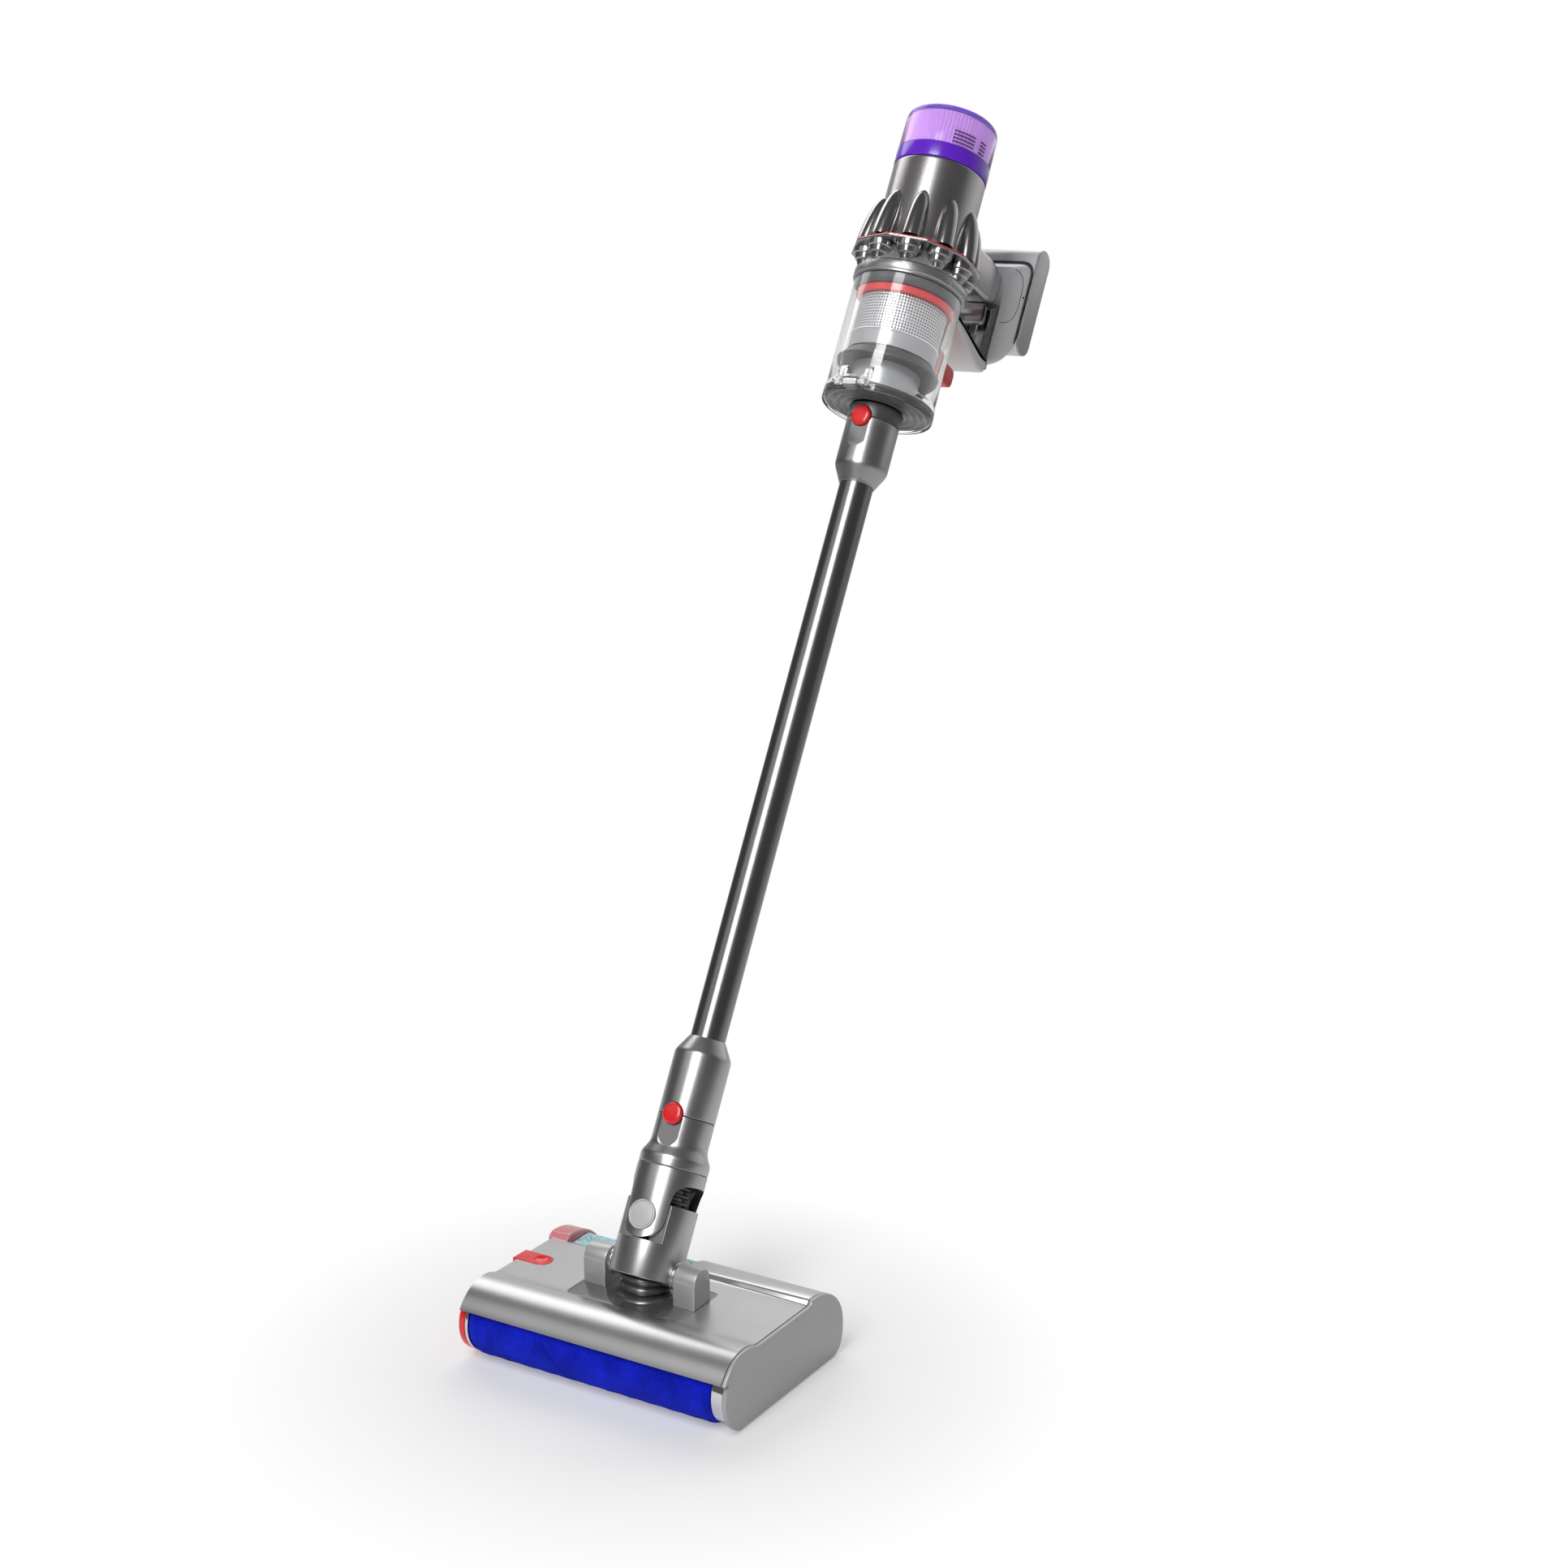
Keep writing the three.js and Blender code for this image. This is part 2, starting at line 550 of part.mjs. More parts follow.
// The pods stand in pairs about the front, so that a gap faces forward.
const podAngle = (index) => (360 * (index + 0.5)) / PODS;

function cycloneBlock() {
  const s = BIN_COLLAR_TOP_S + GAP;
  const core = ring(DUCT_R, 38, s, CROWN_S - GAP, 26);
  let body = core;
  for (let i = 0; i < PODS; i += 1) {
    const profile = [[0, s], [5.5, s], [9.5, CROWN_S - 8], [9.5, CROWN_S - GAP], [0, CROWN_S - GAP]];
    const cone = turned(profile, 8).translate([0, -CUP_RING_R, 0]);
    body = union(body, cone.rotate([0, 0, podAngle(i)]));
  }
  return body;
}

// A bullet-shaped pod that leans against the motor housing. Room makes it larger, to cut its place.
function pod(index, room = 0) {
  const shape = turned([
    [0, -4 * room], [8 + room, -4 * room], [7.6 + room, 16], [5.8 + room, 32],
    [3 + room, 43 + room], [0, 47 + 3 * room],
  ], 10);
  const standing = shape.rotate([POD_LEAN_DEG, 0, 0]).translate([0, -POD_RING_R, MOTOR_S + GAP]);
  return standing.rotate([0, 0, podAngle(index)]);
}

function motorHousing() {
  const tube = ring(MOTOR_R - 4, MOTOR_R, MOTOR_S + GAP, FILTER_S - GAP, 32);
  let body = tube;
  for (let i = 0; i < PODS; i += 1) body = union(body, pod(i));
  return cut(body, disc(MOTOR_R - 4, 800, 1100, 40), box(-90, -90, 800, 90, 90, MOTOR_S + GAP));
}

const CAN_R = 22;
const CAN_BORE = 5;
const CAN_LOW_S = 896;
const CAN_TOP_S = 938;
const VANES = 3;
const FAN_S = 942;
const FAN_R = 30;
const FAN_HUB_R = 9;
const FAN_SHAFT_R = 4.4;

// The motor's can, held in the housing by vanes that stop short of its ends.
function suctionMotor() {
  let body = ring(CAN_BORE, CAN_R, CAN_LOW_S, CAN_TOP_S, 28);
  const vane = box(-2, CAN_R - 2, CAN_LOW_S + 4, 2, MOTOR_R - 4 - GAP, CAN_TOP_S - 4);
  for (let i = 0; i < VANES; i += 1) body = union(body, vane.rotate([0, 0, (360 * (i + 0.5)) / VANES]));
  return body;
}

function impeller() {
  const top = FAN_S + 12;
  const hub = turned([[0, FAN_S], [FAN_R, FAN_S], [FAN_R, FAN_S + 2], [FAN_HUB_R, top], [0, top]], 24);
  return union(hub, disc(FAN_SHAFT_R, CAN_TOP_S - 18, FAN_S + 1, 12));
}

function filterPleats() {
  const s = FILTER_BAND_S + GAP;
  return turned([
    [0, TOP_S - 4], [26, TOP_S - 6], [26, s], [40.5, s], [40.5, TOP_S - 5], [37, TOP_S], [0, TOP_S],
  ], 32);
}

// What stands inside the bin: the station of each foot, and the radii.
const SKIRT_S = 776;
const BAND_S = 787;
const MESH_S = 801;
const RED_RING_S = 835;
const UPPER_SKIRT_S = 841;
const STACK_BORE = 24;
const CONE_R = 29.8;
const SKIRT_R = 44;
const BAND_R = 37.5;
const MESH_R = 37.3;
const MESH_BORE = 35;
const RED_RING_R = 40.7;
const UPPER_SKIRT_R = 44.5;
const CROWN_R = 56;

function buildHandheldStack() {
  const stack = new THREE.Group();
  const column = (r, low, high, segments) => ring(STACK_BORE, r, low + GAP, high, segments);
  stack.add(mesh('dust_bin', dustBin(), CLEAR_BIN));
  stack.add(mesh('air_cone', ring(DUCT_R, CONE_R, BIN_S + GAP, SKIRT_S, 32), LIGHT_GREY));
  const skirt = turned([
    [STACK_BORE, SKIRT_S + GAP], [SKIRT_R, SKIRT_S + GAP], [SKIRT_R, SKIRT_S + 1.6],
    [BAND_R - 0.5, BAND_S], [STACK_BORE, BAND_S],
  ]);
  stack.add(mesh('shroud_skirt', skirt, DARK_GREY));
  stack.add(mesh('shroud_band', column(BAND_R, BAND_S, MESH_S, 32), LIGHT_GREY));
  stack.add(mesh('mesh_shroud', ring(MESH_BORE, MESH_R, MESH_S + GAP, RED_RING_S, 36), MESH_SILVER));
  stack.add(mesh('shroud_red_ring', column(RED_RING_R, RED_RING_S, UPPER_SKIRT_S, 36), RED));
  stack.add(mesh('upper_skirt', column(UPPER_SKIRT_R, UPPER_SKIRT_S, BIN_TOP_S, 36), DARK_GREY));
  stack.add(mesh('bin_collar', column(BIN_R + 1.5, BIN_TOP_S, BIN_COLLAR_TOP_S, 40), SATIN_GREY));
  stack.add(mesh('cyclone_block', cycloneBlock(), CHROME));
  stack.add(mesh('crown_ring', ring(STACK_BORE, CROWN_R, CROWN_S, MOTOR_S, PODS), DARK_CHROME));
  stack.add(mesh('motor_housing', motorHousing(), DARK_CHROME));
  stack.add(mesh('suction_motor', suctionMotor(), BLACK));
  stack.add(mesh('impeller', impeller(), LIGHT_GREY));
  stack.add(mesh('filter_band', ring(30, MOTOR_R, FILTER_S, FILTER_BAND_S, 36), PURPLE));
  stack.add(mesh('filter_pleats', filterPleats(), PURPLE));
  return stack;
}

// ---------------------------------------------------------------- handle and battery
const HANDLE_HALF = 18;
const STRUT_LOW_S = 836;
const STRUT_TOP_S = 849;
const STRUT_RISE = 16; // how much higher the strut is at the bin than at the grip
const BRIDGE_LOW_S = 896;
const BRIDGE_TOP_S = 933;
const LEVER_B = 56;

function handleFrame() {
  const side = new THREE.Shape();
  side.moveTo(30, BRIDGE_LOW_S);
  side.lineTo(GRIP_FRONT_B - 6, BRIDGE_LOW_S);
  side.quadraticCurveTo(GRIP_FRONT_B, BRIDGE_LOW_S, GRIP_FRONT_B, BRIDGE_LOW_S - 6);
  side.lineTo(GRIP_FRONT_B, STRUT_TOP_S + 6);
  side.quadraticCurveTo(GRIP_FRONT_B, STRUT_TOP_S, GRIP_FRONT_B - 6, STRUT_TOP_S);
  side.lineTo(LEVER_B, STRUT_TOP_S + STRUT_RISE - 2);
  side.lineTo(LEVER_B, STRUT_LOW_S + STRUT_RISE);
  side.lineTo(GRIP_BACK_B - 14, STRUT_LOW_S);
  side.lineTo(GRIP_BACK_B - 6, STRUT_LOW_S);
  side.lineTo(GRIP_BACK_B, STRUT_LOW_S + 6);
  side.lineTo(GRIP_BACK_B, BRIDGE_TOP_S - 8);
  side.quadraticCurveTo(GRIP_BACK_B, BRIDGE_TOP_S, GRIP_BACK_B - 12, BRIDGE_TOP_S);
  side.lineTo(30, BRIDGE_TOP_S);
  const body = alongX(side, -HANDLE_HALF, HANDLE_HALF, 6);
  const wedge = box(-HANDLE_HALF, 40, BRIDGE_LOW_S, HANDLE_HALF, 44, BRIDGE_TOP_S);
  const podClear = disc(MOTOR_R + GAP, 800, 1000, 32);
  let shaped = cut(union(body, wedge), podClear);
  for (let i = 3; i < 7; i += 1) shaped = cut(shaped, pod(i, 0.6));
  return shaped;
}

const SLAB_LOW_S = 868;
const SLAB_TOP_S = 970;
const SLAB_HALF = 38;
const BOSS_LOW_S = 848;
const BOSS_LONG = 96;
const BOSS_FRONT_HALF = 24;
const BOSS_BACK_HALF = 35;

// A slab that stands across the handle, with half-round ends top and bottom.
function batteryPack() {
  const r = SLAB_THICK / 2;
  const slabSide = new THREE.Shape();
  slabSide.absarc(SLAB_B + r, SLAB_TOP_S - r, r, 0, Math.PI, false);
  slabSide.absarc(SLAB_B + r, SLAB_LOW_S + r, r, Math.PI, 2 * Math.PI, false);
  const slab = alongX(slabSide, -SLAB_HALF, SLAB_HALF, 10);
  const bossPlan = polygon([
    [-BOSS_FRONT_HALF, GRIP_BACK_B + GAP], [BOSS_FRONT_HALF, GRIP_BACK_B + GAP],
    [BOSS_BACK_HALF, SLAB_B + 4], [-BOSS_BACK_HALF, SLAB_B + 4],
  ]);
  const geometry = new THREE.ExtrudeGeometry(bossPlan, { depth: BOSS_LONG, bevelEnabled: false });
  const boss = solid(geometry.translate(0, 0, BOSS_LOW_S));
  const trim = box(-50, SLAB_B - 4, 820, 50, SLAB_B + 40, SLAB_LOW_S - 2);
  return cut(union(slab, boss), trim, buttonPocket());
}

const BATTERY_BUTTON_B = 139;
const PILL_HALF_LONG = 10;
const PILL_HALF_WIDE = 3.4;
const PILL_LOW_S = 847;
const PILL_TOP_S = 852;

// The battery's button, or the pocket it moves in when room is given.
function pill(room, s0, s1) {
  const round = PILL_HALF_WIDE + room;
  const reach = PILL_HALF_LONG - PILL_HALF_WIDE;
  return union(
    box(-reach, -round, s0, reach, round, s1),
    disc(round, s0, s1, 16).translate([reach, 0, 0]),
    disc(round, s0, s1, 16).translate([-reach, 0, 0]),
  ).translate([0, BATTERY_BUTTON_B, 0]);
}

const buttonPocket = () => pill(RUN, PILL_LOW_S - 7, PILL_TOP_S + 3);

const TRIGGER_FRONT_B = 109;
const TRIGGER_BACK_B = 115.5; // leaves room for the pull before the grip
const TRIGGER_FOOT_S = 879;
const TRIGGER_HALF = 14;

function trigger() {
  const side = new THREE.Shape();
  const front = TRIGGER_FRONT_B;
  side.moveTo(front, BRIDGE_LOW_S - GAP);
  side.quadraticCurveTo(front + 4, TRIGGER_FOOT_S + 7, front + 0.5, TRIGGER_FOOT_S - 1);
  side.quadraticCurveTo(front + 4, TRIGGER_FOOT_S - 3, TRIGGER_BACK_B, TRIGGER_FOOT_S);
  side.lineTo(TRIGGER_BACK_B, BRIDGE_LOW_S - GAP);
  return alongX(side, -TRIGGER_HALF, TRIGGER_HALF, 6);
}

const KNOB_R = 9;
const KNOB_B = 93;
const KNOB_HALF = 7;
const KNOB_LOW_S = 808;
const BLADE_B = 50.6;
const BLADE_TOP_S = 846;

// The bin's release: a blade down the back of the bin and a thumb knob that stands off it.
function binLever() {
  const blade = box(-KNOB_HALF, BLADE_B, KNOB_LOW_S, KNOB_HALF, LEVER_B - GAP, BLADE_TOP_S);
  const arm = box(-KNOB_HALF, BLADE_B + 1, KNOB_LOW_S, KNOB_HALF, KNOB_B, KNOB_LOW_S + 2 * KNOB_R);
  const knob = rodX(KNOB_R, -KNOB_HALF, KNOB_HALF, KNOB_B, KNOB_LOW_S + KNOB_R, 20);
  return cut(union(blade, arm, knob), disc(BIN_R + 2.6, BIN_S, BIN_TOP_S, 40));
}

function buildHandle() {
  const handle = new THREE.Group();
  handle.add(mesh('handle_frame', handleFrame(), DARK_CHROME));
  handle.add(mesh('trigger', trigger(), BLACK));
  handle.add(mesh('battery_pack', batteryPack(), SATIN_GREY));
  handle.add(mesh('battery_button', pill(0, PILL_LOW_S, PILL_TOP_S), RED));
  handle.add(mesh('bin_lever', binLever(), RED));
  return handle;
}

// ---------------------------------------------------------------- assembly
const vacuum = new THREE.Group();
const wand = buildWand();
wand.add(buildHandheldStack(), buildHandle());
vacuum.add(buildHead(), wand);

export default vacuum;
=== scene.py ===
"""Visible model of a cordless stick vacuum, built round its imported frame.

Lengths are written in millimetres and turned into metres when a piece is placed. Floor-head
pieces use the frame's own axes. Pieces above the neck use the wand's axes: x across, y towards
the user's side and z along the wand, counted from the axis on which the wand tilts.
"""

import json
import logging
import math
from dataclasses import dataclass, field
from enum import Enum
from typing import Callable, Optional, Sequence, Union

import bmesh
import bpy
import numpy as np
from mathutils import Matrix, Vector
from numpy.typing import NDArray


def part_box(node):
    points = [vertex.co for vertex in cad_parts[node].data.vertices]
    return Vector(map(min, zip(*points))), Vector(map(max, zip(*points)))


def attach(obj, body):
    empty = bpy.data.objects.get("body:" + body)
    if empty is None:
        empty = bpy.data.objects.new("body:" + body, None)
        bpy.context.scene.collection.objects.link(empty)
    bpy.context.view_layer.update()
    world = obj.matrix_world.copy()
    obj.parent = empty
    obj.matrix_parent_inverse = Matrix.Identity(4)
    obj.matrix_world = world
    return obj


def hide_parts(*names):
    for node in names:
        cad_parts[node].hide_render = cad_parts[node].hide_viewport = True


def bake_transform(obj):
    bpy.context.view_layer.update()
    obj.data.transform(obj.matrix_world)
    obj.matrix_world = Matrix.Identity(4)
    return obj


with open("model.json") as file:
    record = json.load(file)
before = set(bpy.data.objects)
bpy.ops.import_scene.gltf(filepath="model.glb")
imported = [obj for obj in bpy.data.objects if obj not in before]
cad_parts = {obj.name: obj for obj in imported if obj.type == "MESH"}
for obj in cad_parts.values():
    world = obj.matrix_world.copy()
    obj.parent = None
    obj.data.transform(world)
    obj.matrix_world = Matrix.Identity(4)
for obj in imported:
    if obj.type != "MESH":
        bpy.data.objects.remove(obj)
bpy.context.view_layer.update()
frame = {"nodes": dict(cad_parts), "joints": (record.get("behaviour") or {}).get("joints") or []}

LOG = logging.getLogger("stick_vacuum")
Array = NDArray[np.float64]
MM = 0.001
FULL_TURN = 2.0 * math.pi


# --------------------------------------------------------------------------- spaces and axes
class Space(Enum):
    """Which axes a piece is drawn in."""

    HEAD = "head"
    WAND = "wand"


class Axis(Enum):
    """The straight axis that a shape is turned about or carried along."""

    ACROSS = 0
    BACK = 1
    ALONG = 2

    def place(self, p: Array, q: Array, h: Array) -> Array:
        """Put section coordinates p, q and height h on this axis.

        Args:
            p: first coordinate across the axis.
            q: second coordinate across the axis.
            h: coordinate along the axis.

        Returns:
            Points with a last dimension of three.
        """
        p, q, h = np.broadcast_arrays(p, q, h)
        order = {Axis.ACROSS: (h, p, q), Axis.BACK: (p, h, q), Axis.ALONG: (p, q, h)}[self]
        return np.stack(order, axis=-1)


def joint(name: str) -> dict:
    """Return the frame's joint of that name."""
    return next(item for item in frame["joints"] if item["name"] == name)


PIVOT = np.array(joint("neck_tilt")["pos_m"], float)
ALONG = np.array(joint("head_release")["axis"], float)
BACK = np.array(joint("battery_slide")["axis"], float)
WAND_TURN = np.stack([np.array([1.0, 0.0, 0.0]), BACK, ALONG])
LEAN = math.atan2(ALONG[1], ALONG[2])


def to_world(points: Array, space: Space) -> Array:
    """Turn millimetre points of a space into metres of the frame."""
    if space is Space.HEAD:
        return points * MM
    return PIVOT + (points * MM) @ WAND_TURN


# --------------------------------------------------------------------------- surfaces
@dataclass(frozen=True)
class Surface:
    """Points and faces of one or more closed skins.

    Attributes:
        points: corner positions in millimetres.
        faces: arrays of corner indices, one array for each number of corners.
    """

    points: Array
    faces: tuple[NDArray[np.int64], ...]

    def moved(self, shift: Sequence[float]) -> "Surface":
        """Return this surface shifted by a vector."""
        return Surface(self.points + np.asarray(shift, float), self.faces)

    def turned_about(self, axis: Axis, angle: float) -> "Surface":
        """Return this surface turned about one of the space's own axes."""
        turn = np.array(Matrix.Rotation(angle, 3, "XYZ"[axis.value]))
        return Surface(self.points @ turn.T, self.faces)


def joined(parts: Sequence[Surface]) -> Surface:
    """Put several surfaces into one."""
    starts = np.cumsum([0] + [len(part.points) for part in parts[:-1]])
    points = np.concatenate([part.points for part in parts])
    faces = tuple(face + start for part, start in zip(parts, starts) for face in part.faces)
    return Surface(points, faces)


def grid(points: Array, loop_rows: bool, loop_cols: bool, caps: bool = False) -> Surface:
    """Join a grid of points by quads.

    Args:
        points: array of rows by columns by three.
        loop_rows: whether the last row meets the first.
        loop_cols: whether the last column meets the first.
        caps: whether the first and last rows are closed by one face each.

    Returns:
        The surface of the grid.
    """
    rows, cols = points.shape[:2]
    row = np.arange(rows if loop_rows else rows - 1)[:, None]
    col = np.arange(cols if loop_cols else cols - 1)[None, :]
    next_row, next_col = (row + 1) % rows, (col + 1) % cols
    quads = np.stack(
        [row * cols + col, row * cols + next_col, next_row * cols + next_col, next_row * cols + col],
        axis=-1,
    ).reshape(-1, 4)
    faces: list[NDArray[np.int64]] = [quads]
    if caps:
        ends = np.stack([np.arange(cols)[::-1], (rows - 1) * cols + np.arange(cols)])
        faces.append(ends)
    return Surface(points.reshape(-1, 3), tuple(faces))


def rounded(corners: Sequence[Sequence[float]], radius: Union[float, Sequence[float]],
            steps: int = 6, closed: bool = True) -> Array:
    """Round the corners of a flat outline.

    Each corner becomes a quadratic curve that leaves its edge one radius before the corner and
    meets the next edge one radius after it, and never takes more than half of an edge.

    Args:
        corners: the outline's corners, two numbers each.
        radius: one radius, or one for each corner.
        steps: points on each curve.
        closed: whether the last corner joins the first.

    Returns:
        The outline's points, n by two.
    """
    place = np.asarray(corners, float)
    size = np.broadcast_to(np.asarray(radius, float), len(place))
    back, ahead = np.roll(place, 1, 0) - place, np.roll(place, -1, 0) - place
    back_long = np.maximum(np.linalg.norm(back, axis=1), 1e-9)
    ahead_long = np.maximum(np.linalg.norm(ahead, axis=1), 1e-9)
    start = place + back * (np.minimum(size, 0.49 * back_long) / back_long)[:, None]
    end = place + ahead * (np.minimum(size, 0.49 * ahead_long) / ahead_long)[:, None]
    if not closed:
        start[0], end[0] = place[0], place[0]
        start[-1], end[-1] = place[-1], place[-1]
    t = np.linspace(0.0, 1.0, steps)[None, :, None]
    curve = (1 - t) ** 2 * start[:, None] + 2 * t * (1 - t) * place[:, None] + t**2 * end[:, None]
    return curve.reshape(-1, 2)


def arc(centre: Sequence[float], radius: float, start: float, end: float, steps: int) -> Array:
    """Return points on an arc from one angle to another, in degrees."""
    angle = np.radians(np.linspace(start, end, steps))
    return np.stack([centre[0] + radius * np.cos(angle), centre[1] + radius * np.sin(angle)], axis=1)


def bezier(controls: Sequence[Sequence[float]], steps: int) -> Array:
    """Return points on a cubic curve with four control points."""
    c = np.asarray(controls, float)
    t = np.linspace(0.0, 1.0, steps)[:, None]
    return ((1 - t) ** 3 * c[0] + 3 * t * (1 - t) ** 2 * c[1]
            + 3 * t**2 * (1 - t) * c[2] + t**3 * c[3])


def thinned(outline: Array, least: float = 0.02) -> Array:
    """Drop outline points that lie on the one before them."""
    gap = np.linalg.norm(outline - np.roll(outline, 1, 0), axis=1)
    return outline[gap > least]


def inset(outline: Array, amount: float) -> Array:
    """Move a closed outline inwards along the bisectors of its corners."""
    ahead = np.roll(outline, -1, 0) - outline
    back = outline - np.roll(outline, 1, 0)
    ahead /= np.maximum(np.linalg.norm(ahead, axis=1), 1e-9)[:, None]
    back /= np.maximum(np.linalg.norm(back, axis=1), 1e-9)[:, None]
    middle = ahead + back
    middle /= np.maximum(np.linalg.norm(middle, axis=1), 1e-9)[:, None]
    normal = np.stack([-middle[:, 1], middle[:, 0]], axis=1)
    stretch = 1.0 / np.clip(np.abs((middle * ahead).sum(1)), 0.5, 1.0)
    x, y = outline[:, 0], outline[:, 1]
    area = (x * np.roll(y, -1) - np.roll(x, -1) * y).sum()
    return outline + normal * (amount * np.sign(area) * stretch)[:, None]


def turned(profile: Union[Array, Sequence[Sequence[float]]], axis: Axis = Axis.ALONG,
           centre: Sequence[float] = (0.0, 0.0), ring: bool = False, segments: int = 96,
           swell: Optional[Callable[[Array], Array]] = None) -> Surface:
    """Turn a profile about an axis.

    A profile point of radius r and height h goes to p = p0 + r sin t, q = q0 - r cos t, with t
    from nought to a full turn.

    Args:
        profile: radius and height of each point.
        axis: the axis it turns about.
        centre: p0 and q0, where the axis runs.
        ring: whether the profile's last point joins its first.
        segments: steps in the full turn.
        swell: factor on the radius as a function of the angle t.

    Returns:
        The turned surface.
    """
    line = np.asarray(profile, float)
    angle = np.arange(segments) * FULL_TURN / segments
    factor = np.ones(segments) if swell is None else swell(angle)
    radius = line[:, :1] * factor[None, :]
    p = centre[0] + radius * np.sin(angle)
    q = centre[1] - radius * np.cos(angle)
    return grid(axis.place(p, q, line[:, 1:]), loop_rows=ring, loop_cols=True)


def prism(outline: Array, low: float, high: float, axis: Axis, bevel: float = 0.0,
          steps: int = 5) -> Surface:
    """Carry a closed outline along an axis, with rounded rims.

    Near each end the outline shrinks by bevel (1 - sin a) while it moves by bevel (1 - cos a),
    with a from nought to a quarter turn, which draws a quarter circle.

    Args:
        outline: the closed outline in the two coordinates across the axis.
        low: lower end on the axis.
        high: upper end on the axis.
        axis: the axis it is carried along.
        bevel: radius of the rims.
        steps: rows in each rim.

    Returns:
        The closed prism.
    """
    clean = thinned(outline)
    if bevel <= 0.0:
        shrink, height = np.zeros(2), np.array([low, high])
    else:
        a = np.linspace(0.0, math.pi / 2, steps)
        rim, rise = bevel * (1 - np.sin(a)), bevel * (1 - np.cos(a))
        shrink = np.concatenate([rim, rim[::-1]])
        height = np.concatenate([low + rise, (high - rise)[::-1]])
    rings = np.stack([inset(clean, amount) for amount in shrink])
    points = axis.place(rings[:, :, 0], rings[:, :, 1], height[:, None])
    return grid(points, loop_rows=False, loop_cols=True, caps=True)


def thread(path: Array, radius: float, side: Sequence[float], steps: int = 6) -> Surface:
    """Sweep a small circle along an open path.

    Args:
        path: points of the path, n by three.
        radius: radius of the circle.
        side: a direction that is never along the path.
        steps: corners of the circle.

    Returns:
        The closed thread.
    """
    way = np.gradient(path, axis=0)
    way /= np.linalg.norm(way, axis=1)[:, None]
    first = np.cross(way, np.asarray(side, float))
    first /= np.linalg.norm(first, axis=1)[:, None]
    second = np.cross(way, first)
    angle = np.arange(steps) * FULL_TURN / steps
    ring = first[:, None] * np.cos(angle)[:, None] + second[:, None] * np.sin(angle)[:, None]
    return grid(path[:, None] + radius * ring, loop_rows=False, loop_cols=True, caps=True)


def block(low: Sequence[float], high: Sequence[float]) -> Surface:
    """Return a plain box."""
    outline = np.array([[low[0], low[1]], [high[0], low[1]], [high[0], high[1]], [low[0], high[1]]], float)
    return prism(outline, low[2], high[2], Axis.ALONG)


def stadium(half_long: float, half_wide: float, steps: int = 12) -> Array:
    """Return a slot outline, its long side on the first coordinate."""
    run = half_long - half_wide
    right = arc((run, 0), half_wide, -90, 90, steps)
    left = arc((-run, 0), half_wide, 90, 270, steps)
    return np.concatenate([right, left])


def arc_band(inner: float, outer: float, start: float, end: float, steps: int) -> Array:
    """Return a strip of a ring as a closed outline, its angles in degrees from the front."""
    turn = np.radians(np.linspace(start, end, steps))
    way = np.stack([np.sin(turn), -np.cos(turn)], axis=1)
    return np.concatenate([outer * way, inner * way[::-1]])


def hoop(corners: Sequence[Sequence[float]], radius: Union[float, Sequence[float]], steps: int = 6,
         segments: int = 96, axis: Axis = Axis.ALONG,
         centre: Sequence[float] = (0.0, 0.0)) -> Surface:
    """Turn a closed section with rounded corners into a ring.

    Args:
        corners: radius and height of the section's corners.
        radius: one corner radius, or one for each corner.
        steps: points on each rounded corner.
        segments: steps in the full turn.
        axis: the axis it turns about.
        centre: where the axis runs.

    Returns:
        The ring.
    """
    return turned(rounded(corners, radius, steps), axis, centre, ring=True, segments=segments)


